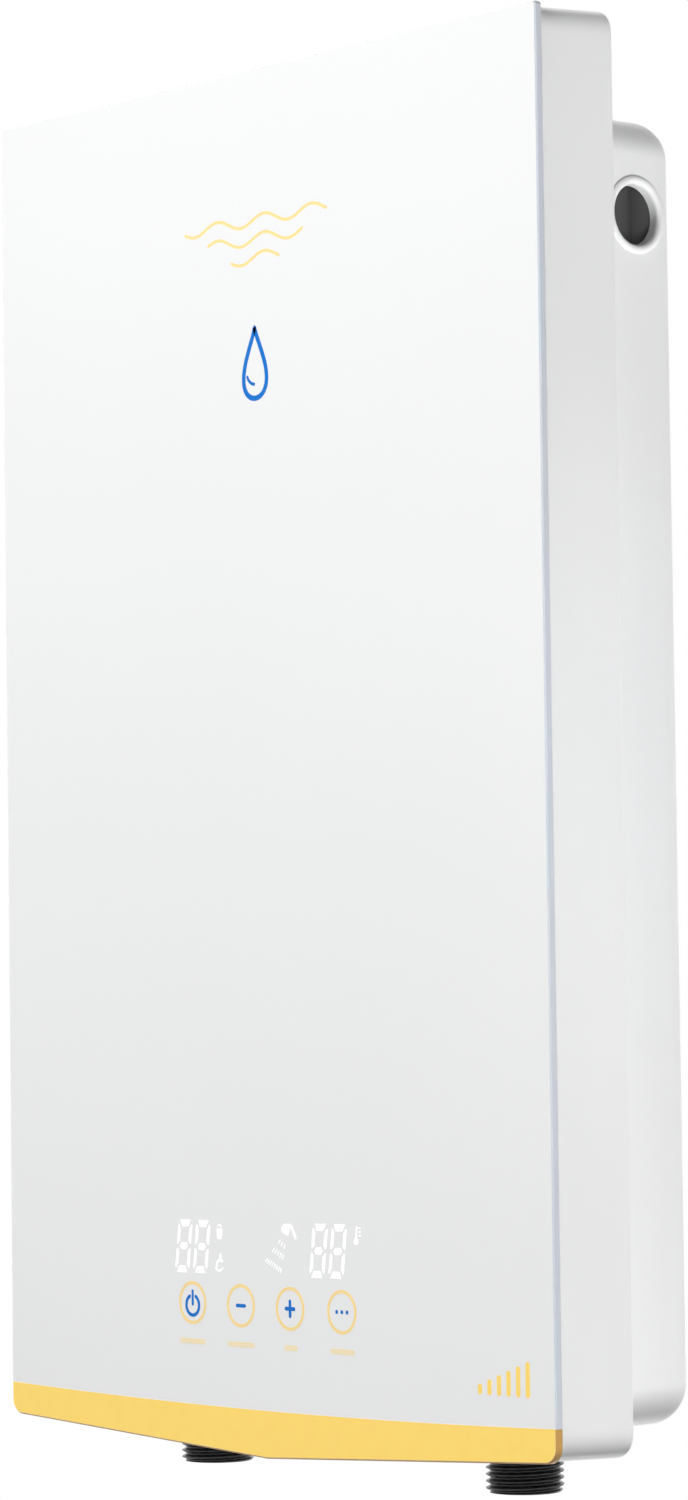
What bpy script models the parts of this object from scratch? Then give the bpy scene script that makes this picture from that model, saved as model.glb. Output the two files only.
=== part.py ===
"""Wall-hung tankless water heater with a glass front, 228 mm wide and 389 mm high.

Units are metres. +X is to the right of someone who faces the heater, +Y points into the wall
and +Z is up. The origin is the centre of the flat back that lies on the wall.

The heater is built as it comes apart on a bench: a deep rear casing carries the water path and
the power board, a shallow front frame carries the glass and the display, and the frame hooks
over the casing's rim and is held by two screws from below.
"""

import math

import bmesh
import bpy
from mathutils import Matrix, Vector

# Clearances and segment counts shared by all pieces
GAP = 0.0003
OVERRUN = 0.002
CORNER_STEPS = 4
FILLET_STEPS = 4
FINE_SIDES = 20
ROUND_SIDES = 12
SMALL_SIDES = 8
HINGE_SIDES = 16
ROUND_CORNER_POWER = 2.0

# Glass front panel
PANEL_OVERHANG = 0.012
PANEL_RISE = 0.0226
PANEL_POINT = 0.006
PANEL_DROP = 0.005
GLASS_THICKNESS = 0.0025
GLASS_CORNER = 0.004
GLASS_CHAMFER = 0.0004

# Front frame
FRAME_FRONT_ROOM = 0.0192
FRAME_INSET = 0.0003
FRAME_WALL = 0.0026
FRAME_LEDGE = 0.0025
FRAME_CORNER = 0.008
FRAME_CORNER_POWER = 4.0
FRAME_BACK_CHAMFER = 0.0008
FRAME_DRAFT_TOP = 0.0018
FRAME_DRAFT_LOW = 0.0008
FRAME_RIB_REACH = 0.006
FRAME_RIB_THICKNESS = 0.0015
FRAME_RIB_SHARES_SIDE = (-0.72, -0.36, 0.0, 0.36, 0.72)
FRAME_RIB_SHARES_TOP = (-0.72, -0.24, 0.24, 0.72)

# Rear casing
CASING_SIDE = 0.038
CASING_FRONT_ROOM = 0.0074
CASING_WALL = 0.0025
CASING_CORNER = 0.011
CASING_FILLET = 0.0098
RIM_LAND = 0.0044
RIM_LAND_DEPTH = 0.0033
TONGUE_THICKNESS = 0.0012
TONGUE_HEIGHT = 0.0043
SEAL_THICKNESS = 0.0014
SEAL_HEIGHT = 0.0022
HOOK_X = 0.070
HOOK_WIDTH = 0.014
HOOK_THICKNESS = 0.002
HOOK_RISE = 0.0045
LUG_X = 0.030
LUG_WIDTH = 0.012
LUG_REACH = 0.0114
LUG_HEIGHT = 0.006

# Keyhole hangers in the casing's back
KEYHOLE_INSET = 0.042
KEYHOLE_DROP = 0.0742
KEYHOLE_LOW_RISE = 0.0212
KEYHOLE_HEAD_RADIUS = 0.005
KEYHOLE_SLOT_RADIUS = 0.0026
KEYHOLE_RISE = 0.009
KEYHOLE_PLATE = 0.002
KEYHOLE_POCKET_DEPTH = 0.006
KEYHOLE_POCKET_WALL = 0.0015

# Cable entry
ENTRY_DROP = 0.027
ENTRY_SETBACK = 0.0174
ENTRY_RADIUS = 0.00805
ENTRY_LIP_RADIUS = 0.0105
ENTRY_LIP_HEIGHT = 0.0008
ENTRY_LIP_ROUND = 0.0007
CABLE_SEAL_RADIUS = 0.011
CABLE_SEAL_THICKNESS = 0.004
CABLE_SEAL_BORE = 0.00475
CABLE_SEAL_WEB = 0.0014
ENTRY_COLLAR_WALL = 0.0015
ENTRY_COLLAR_DEPTH = 0.0055

# Cable clamp and mains terminals
CLAMP_INSET = 0.0145
CLAMP_THICKNESS = 0.007
CLAMP_LENGTH = 0.026
CLAMP_GROOVE = 0.0052
CLAMP_WEB = 0.003
CLAMP_BASE_RISE = 0.0125
TERMINAL_WIDTH = 0.022
TERMINAL_HEIGHT = 0.038
TERMINAL_DEPTH = 0.020
TERMINAL_INSET = 0.037
TERMINAL_BASE = 0.008
TERMINAL_WAY_DEPTH = 0.006
TERMINAL_WAY_WIDTH = 0.009
TERMINAL_SCREW_RADIUS = 0.0024

# Water connectors, half-inch parallel pipe thread
THREAD_RADIUS = 0.0104775
CONNECTOR_MARGIN = 0.015
CONNECTOR_REACH = 0.0181
CONNECTOR_CHAMFER = 0.0009
CONNECTOR_NECK = 0.0094
CONNECTOR_BORE = 0.007
CONNECTOR_FLANGE = 0.0148
CONNECTOR_FLANGE_THICKNESS = 0.003
SPIGOT_RADIUS = 0.0082
SPIGOT_BORE = 0.0063
SPIGOT_HEIGHT = 0.0085
NOTCH_CLEARANCE = 0.0006
SLOT_CLEARANCE = 0.0004
FILTER_WALL = 0.0007
FILTER_LENGTH = 0.011
FILTER_FLANGE_THICKNESS = 0.001

# Flow sensor with a paddle rotor
SENSOR_RADIUS = 0.0155
SENSOR_WALL = 0.0025
SENSOR_DEPTH = 0.022
SENSOR_STAND = 0.0179
SENSOR_BACK = 0.002
SENSOR_COVER_THICKNESS = 0.002
SENSOR_SOCKET_WALL = 0.0025
SENSOR_SOCKET_LENGTH = 0.0085
SENSOR_UPPER_LENGTH = 0.013
AXLE_RADIUS = 0.001
AXLE_CLEARANCE = 0.0001
AXLE_SEAT = 0.0012
HUB_RADIUS = 0.0034
BLADE_COUNT = 8
BLADE_REACH = 0.0121
BLADE_THICKNESS = 0.0011
BLADE_SWEEP = 0.30
BLADE_STEPS = 3
ROTOR_END_GAP = 0.0006
HALL_BOARD_WIDTH = 0.012
HALL_BOARD_HEIGHT = 0.020
BOARD_THICKNESS = 0.0016
HALL_CHIP = 0.004

# Pipes
PIPE_RADIUS = 0.006
PIPE_BORE = 0.0048
PIPE_BEND = 0.012
PIPE_SEAT = 0.006
PIPE_BEND_STEPS = 4

# Heating tank with three chambers
TANK_STAND = 0.0045
TANK_RISE = 0.0392
TANK_HEIGHT = 0.150
CHAMBER_RADIUS = 0.017
CHAMBER_WALL = 0.0025
CHAMBER_OVERLAP = 0.002
CHAMBER_WEB_STEP = 0.006
HEAD_WEB_STEP = 0.0005
TANK_BOTTOM = 0.004
CHAMBER_ARC_STEPS = 5
PORT_RADIUS = 0.0088
INLET_PORT_RISE = 0.040
OUTLET_PORT_DROP = 0.018
PASSAGE_RADIUS = 0.005
PASSAGE_INSET = 0.012
PAD_HALF_WIDTH = 0.012
PAD_HALF_HEIGHT = 0.014
PAD_RISE = 0.002
PAD_DROP = 0.034
EAR_REACH = 0.011
EAR_HEIGHT = 0.010
EAR_THICKNESS = 0.004
EAR_RISE = 0.0065
EAR_HOLE = 0.002
TANK_GASKET_THICKNESS = 0.0015
HEAD_THICKNESS = 0.010
HEAD_BOLT_RADIUS = 0.0022
HEAD_BOLT_CLEARANCE = 0.0005
HEAD_BOLT_HEAD = 0.0042
HEAD_BOLT_HEAD_HEIGHT = 0.003
HEAD_BOLT_DEPTH = 0.007
HEAD_EAR_RADIUS = 0.005
EARTH_STUD_RADIUS = 0.0018
EARTH_STUD_HEIGHT = 0.008
EARTH_NUT_RADIUS = 0.0036
EARTH_NUT_HEIGHT = 0.0025

# Heating elements
ELEMENT_RADIUS = 0.0033
ELEMENT_WALL_ROOM = 0.0065
ELEMENT_CLEARANCE = 0.0004
ELEMENT_BOTTOM_GAP = 0.006
TERMINAL_RISE = 0.014
TERMINAL_PIN_RADIUS = 0.0018
TERMINAL_PIN_LENGTH = 0.005
ELEMENT_BEND_STEPS = 6
BUSBAR_THICKNESS = 0.001
BUSBAR_BAR_OFFSET = 0.009
BUSBAR_BAR_WIDTH = 0.004
BUSBAR_PAD_WIDTH = 0.007

# Thermal cut-out with a manual reset button
CUTOUT_FLANGE_RADIUS = 0.0095
CUTOUT_FLANGE_THICKNESS = 0.002
CUTOUT_RADIUS = 0.0085
CUTOUT_HEIGHT = 0.008
CUTOUT_NOSE_RADIUS = 0.0034
CUTOUT_NOSE_HEIGHT = 0.0018
CUTOUT_NOSE_CHAMFER = 0.0005
RESET_RADIUS = 0.00175
RESET_CLEARANCE = 0.0003
RESET_LENGTH = 0.0072
RESET_TRAVEL = 0.0015
RESET_STAND = 0.0024
BRACKET_THICKNESS = 0.0008
BRACKET_WIDTH = 0.023
BRACKET_FOOT = 0.0032
BLADE_TERMINAL_X = 0.0058
BLADE_TERMINAL_REACH = 0.006
BLADE_TERMINAL_WIDTH = 0.0048
BLADE_TERMINAL_THICKNESS = 0.0008

# Triac on its cooling plate
TRIAC_PLATE_THICKNESS = 0.003
TRIAC_PLATE_WIDTH = 0.026
TRIAC_PLATE_HEIGHT = 0.052
TRIAC_WIDTH = 0.0156
TRIAC_HEIGHT = 0.020
TRIAC_THICKNESS = 0.0048
TRIAC_LEG_LENGTH = 0.012
TRIAC_LEG_WIDTH = 0.0012
TRIAC_LEG_PITCH = 0.0054

# Temperature sensors
PROBE_HEX_RADIUS = 0.0052
PROBE_HEX_HEIGHT = 0.004
PROBE_STEM_RADIUS = 0.0022
PROBE_STEM_LENGTH = 0.012
PROBE_TAIL_RADIUS = 0.003
PROBE_TAIL_LENGTH = 0.005
PROBE_BOSS_RADIUS = 0.0058
PROBE_BOSS_REACH = 0.005

# Power board and its components
POWER_BOARD_HEIGHT = 0.110
POWER_BOARD_RISE = 0.039
POWER_BOARD_DROP = 0.0102
POWER_BOARD_MARGIN = 0.012
POWER_BOARD_SIDE_ROOM = 0.056
POWER_BOARD_STAND = 0.014
BOARD_POST_RADIUS = 0.0034
BOARD_POST_INSET = 0.006
BOARD_HOLE = 0.0017
RELAY_WIDTH = 0.028
RELAY_HEIGHT = 0.022
RELAY_DEPTH = 0.019
RELAY_CHAMFER = 0.001
RELAY_INSET = 0.012
RELAY_SPACING = 0.034
RELAY_RISE = 0.006
TRANSFORMER_WIDTH = 0.030
TRANSFORMER_HEIGHT = 0.026
TRANSFORMER_DEPTH = 0.022
TRANSFORMER_CORE = 0.009
TRANSFORMER_RISE = 0.044
CAPACITOR_WIDTH = 0.026
CAPACITOR_HEIGHT = 0.010
CAPACITOR_DEPTH = 0.016
COIL_RADIUS = 0.014
COIL_BORE = 0.0072
COIL_WIDTH = 0.010
COIL_INSET = 0.020
COIL_FOOT = 0.003
CHIP_SIZE = 0.008
CHIP_HEIGHT = 0.0016
HEADER_WIDTH = 0.015
HEADER_HEIGHT = 0.006
HEADER_DEPTH = 0.007

# Display assembly behind the glass
CARRIER_MARGIN = 0.028
CARRIER_LOW = 0.0165
CARRIER_HIGH = 0.0705
CARRIER_DEPTH = 0.0135
CARRIER_WALL = 0.002
CARRIER_FLANGE = 0.0024
CARRIER_BORDER = 0.008
CARRIER_POST_SPACING = 0.003
CARRIER_POST_RADIUS = 0.003
CARRIER_EAR_WIDTH = 0.008
CARRIER_EAR_THICKNESS = 0.0025
LIGHT_BOX_WALL = 0.00215
LIGHT_BOX_LOW = 0.0415
LIGHT_BOX_HEIGHT = 0.0185
LIGHT_CELL_HEIGHT = 0.0155
DIGIT_CELL_X = 0.0286
DIGIT_CELL_WIDTH = 0.0245
ICON_CELL_X = 0.007
ICON_CELL_WIDTH = 0.0165
KEY_COUNT = 4
KEY_PITCH = 0.0208
KEY_OFFSET = 0.0008
KEY_RISE = 0.0351
SPRING_RADIUS = 0.0038
SPRING_WIRE = 0.0004
SPRING_TURNS = 3
SPRING_TURN_POINTS = 8
SPRING_TAPER_SHARE = 0.35
SPRING_RESOLUTION = 0
BUZZER_RADIUS = 0.006
BUZZER_HEIGHT = 0.0055
BUZZER_INSET = 0.021

# Wiring
RIBBON_WIDTH = 0.012
RIBBON_THICKNESS = 0.0009
LEAD_RADIUS = 0.0014
LEAD_SIDES_RESOLUTION = 1
LEAD_POINTS_PER_SPAN = 2
LEAD_APPROACH = 0.005

# Cover screws
SCREW_RADIUS = 0.0014
SCREW_CLEARANCE = 0.0003
SCREW_HEAD_RADIUS = 0.0031
SCREW_HEAD_HEIGHT = 0.0019
SCREW_BOSS_RADIUS = 0.0046
SCREW_GRIP = 0.0046

# Planes and levels that several pieces share: the tank's chambers set the width, the tank with
# the power board above it sets the height, and the flow sensor and the tank set the depths
CHAMBER_BORE = CHAMBER_RADIUS - CHAMBER_WALL
CHAMBER_PITCH = 2 * CHAMBER_RADIUS - CHAMBER_OVERLAP
CHAMBER_WEB = CHAMBER_RADIUS - CHAMBER_WEB_STEP
HEAD_WEB = CHAMBER_RADIUS - HEAD_WEB_STEP
ELEMENT_LEG_OFFSET = CHAMBER_BORE - ELEMENT_WALL_ROOM
TANK_SETBACK = CASING_WALL + TANK_STAND + CHAMBER_RADIUS
CONNECTOR_SETBACK = SENSOR_STAND + SENSOR_DEPTH / 2
CASING_DEPTH = CONNECTOR_SETBACK + CASING_FRONT_ROOM
FRAME_DEPTH = TANK_SETBACK + CHAMBER_RADIUS + PAD_RISE + FRAME_FRONT_ROOM - CASING_DEPTH - GAP
CONNECTOR_X = CHAMBER_PITCH + CHAMBER_RADIUS + CONNECTOR_MARGIN
CASING_WIDTH = 2 * (CONNECTOR_X + CASING_SIDE)
CASING_HEIGHT = TANK_RISE + TANK_HEIGHT + POWER_BOARD_RISE + POWER_BOARD_HEIGHT + POWER_BOARD_DROP
PANEL_WIDTH = CASING_WIDTH + 2 * PANEL_OVERHANG
PANEL_HEIGHT = PANEL_DROP + CASING_HEIGHT + PANEL_RISE
FRAME_BACK = -(CASING_DEPTH + GAP)
FRAME_FRONT = FRAME_BACK - FRAME_DEPTH
GLASS_BACK = FRAME_FRONT - GAP
GLASS_FRONT = GLASS_BACK - GLASS_THICKNESS
CASING_LOW = -CASING_HEIGHT / 2
CASING_HIGH = CASING_HEIGHT / 2
CASING_HALF = CASING_WIDTH / 2
PANEL_LOW = CASING_LOW - PANEL_DROP
PANEL_HIGH = PANEL_LOW + PANEL_HEIGHT
PANEL_HALF = PANEL_WIDTH / 2
TONGUE_OFFSET = RIM_LAND - TONGUE_THICKNESS
WINDOW_OFFSET = TONGUE_OFFSET - SEAL_THICKNESS - 2 * GAP
TONGUE_FRONT = -(CASING_DEPTH + TONGUE_HEIGHT)
LEDGE_FRONT = FRAME_BACK - FRAME_LEDGE
FLOOR = -CASING_WALL
KEYHOLE_X = CASING_HALF - KEYHOLE_INSET
KEYHOLE_Z = CASING_HIGH - KEYHOLE_DROP
KEYHOLE_LOW_Z = CASING_LOW + KEYHOLE_LOW_RISE
TERMINAL_X = CASING_HALF - TERMINAL_INSET
ENTRY_Z = CASING_HIGH - ENTRY_DROP
CONNECTOR_END = CASING_LOW - CONNECTOR_REACH
FLANGE_LOW = CASING_LOW + CASING_WALL + GAP
FLANGE_HIGH = FLANGE_LOW + CONNECTOR_FLANGE_THICKNESS
SPIGOT_TOP = FLANGE_HIGH + SPIGOT_HEIGHT
TANK_LOW = CASING_LOW + TANK_RISE
TANK_HIGH = TANK_LOW + TANK_HEIGHT
HEAD_LOW = TANK_HIGH + TANK_GASKET_THICKNESS + 2 * GAP
HEAD_HIGH = HEAD_LOW + HEAD_THICKNESS
ELEMENT_TOP = HEAD_HIGH + TERMINAL_RISE
PIN_TOP = ELEMENT_TOP + TERMINAL_PIN_LENGTH
EAR_BACK = -(CASING_WALL + EAR_RISE)
PAD_FRONT = -(TANK_SETBACK + CHAMBER_RADIUS + PAD_RISE)
PAD_Z = TANK_HIGH - PAD_DROP
POWER_BOARD_LEFT = POWER_BOARD_MARGIN - CASING_HALF
POWER_BOARD_RIGHT = CASING_HALF - POWER_BOARD_SIDE_ROOM
POWER_BOARD_LOW = TANK_HIGH + POWER_BOARD_RISE
POWER_BOARD_HIGH = POWER_BOARD_LOW + POWER_BOARD_HEIGHT
COIL_X = POWER_BOARD_RIGHT - COIL_INSET
BOARD_BACK = -POWER_BOARD_STAND
BOARD_FRONT = BOARD_BACK - BOARD_THICKNESS
LIGHT_BOX_HALF = DIGIT_CELL_X + DIGIT_CELL_WIDTH / 2 + LIGHT_BOX_WALL
CARRIER_WIDTH = 2 * (LIGHT_BOX_HALF + CARRIER_MARGIN)
CARRIER_POST_X = LIGHT_BOX_HALF + CARRIER_POST_SPACING
BUZZER_X = CARRIER_WIDTH / 2 - BUZZER_INSET
CARRIER_BACK = FRAME_FRONT + CARRIER_DEPTH
DISPLAY_BOARD_BACK = CARRIER_BACK - CARRIER_FLANGE - GAP
DISPLAY_BOARD_FRONT = DISPLAY_BOARD_BACK - BOARD_THICKNESS

# Finishes: colour, roughness, metallic
FINISHES = {
    "front_glass": ((0.86, 0.87, 0.88), 0.06, 0.0),
    "white_abs": ((0.82, 0.82, 0.83), 0.32, 0.0),
    "black_nylon": ((0.018, 0.018, 0.020), 0.38, 0.0),
    "black_rubber": ((0.03, 0.03, 0.03), 0.75, 0.0),
    "grey_rubber": ((0.35, 0.36, 0.37), 0.7, 0.0),
    "cast_aluminium": ((0.62, 0.63, 0.65), 0.42, 0.9),
    "stainless": ((0.66, 0.66, 0.68), 0.25, 1.0),
    "copper": ((0.72, 0.42, 0.27), 0.28, 1.0),
    "brass": ((0.72, 0.58, 0.28), 0.28, 1.0),
    "natural_nylon": ((0.78, 0.77, 0.72), 0.4, 0.0),
    "circuit_board": ((0.03, 0.20, 0.09), 0.45, 0.0),
    "relay_black": ((0.02, 0.02, 0.022), 0.45, 0.0),
    "capacitor_yellow": ((0.80, 0.62, 0.10), 0.4, 0.0),
    "transformer_iron": ((0.10, 0.10, 0.11), 0.5, 0.0),
    "terminal_grey": ((0.45, 0.46, 0.48), 0.45, 0.0),
    "button_red": ((0.60, 0.05, 0.04), 0.35, 0.0),
    "lead_brown": ((0.16, 0.07, 0.03), 0.5, 0.0),
    "lead_blue": ((0.03, 0.12, 0.45), 0.5, 0.0),
    "lead_green": ((0.10, 0.35, 0.08), 0.5, 0.0),
    "lead_white": ((0.75, 0.75, 0.74), 0.5, 0.0),
}


def clear_scene():
    for item in list(bpy.data.objects):
        bpy.data.objects.remove(item, do_unlink=True)


def finish(name):
    """The named Principled material, made on first use."""
    found = bpy.data.materials.get(name)
    if found:
        return found
    colour, roughness, metallic = FINISHES[name]
    made = bpy.data.materials.new(name)
    made.use_nodes = True
    shader = made.node_tree.nodes["Principled BSDF"]
    shader.inputs["Base Color"].default_value = (*colour, 1.0)
    shader.inputs["Roughness"].default_value = roughness
    shader.inputs["Metallic"].default_value = metallic
    made.diffuse_color = (*colour, 1.0)
    return made


def piece(name, shape, finish_name, origin=(0, 0, 0)):
    """An object from a bmesh drawn in world coordinates, its origin moved to where it turns or slides."""
    bmesh.ops.recalc_face_normals(shape, faces=shape.faces)
    bmesh.ops.translate(shape, verts=shape.verts, vec=-Vector(origin))
    mesh = bpy.data.meshes.new(name)
    shape.to_mesh(mesh)
    shape.free()
    mesh.materials.append(finish(finish_name))
    mesh.shade_smooth()
    mesh.set_sharp_from_angle(angle=math.radians(32))
    made = bpy.data.objects.new(name, mesh)
    made.location = origin
    bpy.context.scene.collection.objects.link(made)
    return made


def shape_with(target, shape, operation):
    """Adds a Boolean of this bmesh to the target, through a hidden wire object."""
    tool_name = f"{target.name}_{operation.lower()}_{len(target.modifiers)}"
    bmesh.ops.recalc_face_normals(shape, faces=shape.faces)
    mesh = bpy.data.meshes.new(tool_name)
    shape.to_mesh(mesh)
    shape.free()
    tool = bpy.data.objects.new(tool_name, mesh)
    tool.hide_render = True
    tool.display_type = "WIRE"
    bpy.context.scene.collection.objects.link(tool)
    modifier = target.modifiers.new(tool_name, "BOOLEAN")
    modifier.operation = operation
    modifier.object = tool
    return tool


def cut(target, shape):
    return shape_with(target, shape, "DIFFERENCE")


def fuse(target, shape):
    return shape_with(target, shape, "UNION")


def loft(shape, rings, closed=False):
    """Joins rings of equally many points by quads; an open run of rings is capped at both ends."""
    rows = [[shape.verts.new(point) for point in ring] for ring in rings]
    pairs = list(zip(rows, rows[1:]))
    if closed:
        pairs.append((rows[-1], rows[0]))
    for first, second in pairs:
        count = len(first)
        for i in range(count):
            j = (i + 1) % count
            shape.faces.new((first[i], first[j], second[j], second[i]))
    if not closed:
        shape.faces.new(rows[0])
        shape.faces.new(rows[-1])
    return shape


def turned(shape, profile, centre, axis, sides, hollow=False):
    """Turns (radius, height) points about an axis through the centre: solid, or a closed hollow profile."""
    turn = {"X": Matrix.Rotation(math.pi / 2, 3, "Y"), "Y": Matrix.Rotation(-math.pi / 2, 3, "X")}
    basis = turn.get(axis, Matrix.Identity(3))
    rings = []
    for radius, height in profile:
        ring = []
        for i in range(sides):
            angle = 2 * math.pi * (i + 0.5) / sides
            point = Vector((radius * math.cos(angle), radius * math.sin(angle), height))
            ring.append(Vector(centre) + basis @ point)
        rings.append(ring)
    return loft(shape, rings, closed=hollow)


def rod(shape, radius, start, end, sides=ROUND_SIDES):
    """A plain cylinder between two points that lie along one of the axes."""
    span = Vector(end) - Vector(start)
    axis = "XYZ"[max(range(3), key=lambda i: abs(span[i]))]
    return turned(shape, [(radius, 0), (radius, sum(span))], start, axis, sides)


def block(shape, low, high, chamfer=0.0):
    """A box between two corners, its edges broken where a chamfer is given."""
    low, high = Vector(low), Vector(high)
    matrix = Matrix.Translation((low + high) / 2) @ Matrix.Diagonal((*(high - low), 1))
    made = bmesh.ops.create_cube(shape, size=1, matrix=matrix)
    if chamfer:
        edges = list({edge for vert in made["verts"] for edge in vert.link_edges})
        bmesh.ops.bevel(shape, geom=edges, offset=chamfer, segments=1, affect="EDGES")
    return shape


def prism(shape, points, axis, start, end):
    """Extrudes a flat outline along an axis; the outline's two numbers are the other axes in order."""
    def place(point, along):
        values = {"X": (along, *point), "Y": (point[0], along, point[1]), "Z": (*point, along)}
        return values[axis]

    return loft(shape, [[place(p, start) for p in points], [place(p, end) for p in points]])


def outline(half, low, high, corner, power=ROUND_CORNER_POWER, point=0.0):
    """Front outline of a rounded rectangle whose lower edge falls to a shallow point at the middle.

    Each corner is a superellipse of the given power; its ends lie one corner size from the edges.
    """
    points = []
    for side_x, side_z in ((1, 1), (-1, 1), (-1, -1), (1, -1)):
        quarter = []
        for step in range(CORNER_STEPS + 1):
            angle = math.pi / 2 * step / CORNER_STEPS
            across = math.cos(angle) ** (2 / power)
            along = math.sin(angle) ** (2 / power)
            x = side_x * (half - corner + corner * across)
            edge_z = high if side_z > 0 else low
            z = edge_z - side_z * (corner - corner * along)
            if side_z < 0:
                z -= point * (1 - abs(x) / half)
            quarter.append((x, z))
        if side_x * side_z < 0:
            quarter.reverse()
        points += quarter
        if (side_x, side_z) == (-1, -1):
            points.append((0.0, low - point))
    return points


def lifted(points, y):
    return [(x, y, z) for x, z in points]


def casing_outline(offset):
    corner = max(CASING_CORNER - offset, (CASING_CORNER - CASING_FILLET) / 2)
    return outline(CASING_HALF - offset, CASING_LOW + offset, CASING_HIGH - offset, corner)


def frame_outline(offset, depth=0.0):
    """Outline of the frame at a share of its depth; the draft makes it taller towards the back."""
    inset = FRAME_INSET + offset
    low = PANEL_LOW + inset - FRAME_DRAFT_LOW * depth
    high = PANEL_HIGH - inset + FRAME_DRAFT_TOP * depth
    return outline(PANEL_HALF - inset, low, high, FRAME_CORNER - offset, FRAME_CORNER_POWER, PANEL_POINT)


def frame_floor_z(x):
    """Height of the frame's inner bottom surface at this distance from the middle."""
    inset = FRAME_INSET + FRAME_WALL
    return PANEL_LOW + inset - PANEL_POINT * (1 - abs(x) / (PANEL_HALF - inset))


def smooth_path(points, per_span):
    """Points read from a smooth curve through the given ones, which keeps each span's own length."""
    given = [Vector(p) for p in points]
    last = len(given) - 1
    headings = [(given[min(i + 1, last)] - given[max(i - 1, 0)]).normalized() for i in range(last + 1)]
    path = []
    for (a, b), (heading_a, heading_b) in zip(zip(given, given[1:]), zip(headings, headings[1:])):
        length = (b - a).length
        for step in range(per_span):
            t = step / per_span
            from_a = a * (2 * t**3 - 3 * t**2 + 1) + heading_a * length * (t**3 - 2 * t**2 + t)
            from_b = b * (3 * t**2 - 2 * t**3) + heading_b * length * (t**3 - t**2)
            path.append(from_a + from_b)
    path.append(given[-1])
    return path


def lead(name, start, leaves, between, end, arrives, finish_name):
    """A wire that leaves its first seat and meets its last one squarely, by way of the points between."""
    start, end = Vector(start), Vector(end)
    out, back = Vector(leaves) * LEAD_APPROACH, Vector(arrives) * LEAD_APPROACH
    route = [start, start + out / 2, start + out, *between, end - back, end - back / 2, end]
    return tube(name, smooth_path(route, LEAD_POINTS_PER_SPAN), LEAD_RADIUS, finish_name)


def tube(name, path, radius, finish_name, resolution=LEAD_SIDES_RESOLUTION):
    """A round tube along a path, as a curve object with filled ends."""
    data = bpy.data.curves.new(name, "CURVE")
    data.dimensions = "3D"
    data.bevel_depth = radius
    data.bevel_resolution = resolution
    data.use_fill_caps = True
    spline = data.splines.new("POLY")
    spline.points.add(len(path) - 1)
    for target, point in zip(spline.points, path):
        target.co = (*point, 1)
    data.materials.append(finish(finish_name))
    made = bpy.data.objects.new(name, data)
    bpy.context.scene.collection.objects.link(made)
    return made


def circle_section(radius, sides):
    turn = 2 * math.pi / sides
    return [(radius * math.cos(turn * (i + 0.5)), radius * math.sin(turn * (i + 0.5))) for i in range(sides)]


def build_glass():
    shape = bmesh.new()

    def rim(inset):
        return outline(
            PANEL_HALF - inset, PANEL_LOW + inset, PANEL_HIGH - inset, GLASS_CORNER - inset,
            ROUND_CORNER_POWER, PANEL_POINT,
        )

    rings = [
        lifted(rim(GLASS_CHAMFER), GLASS_FRONT),
        lifted(rim(0), GLASS_FRONT + GLASS_CHAMFER),
        lifted(rim(0), GLASS_BACK),
    ]
    return piece("front_glass", loft(shape, rings), "front_glass")


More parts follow.
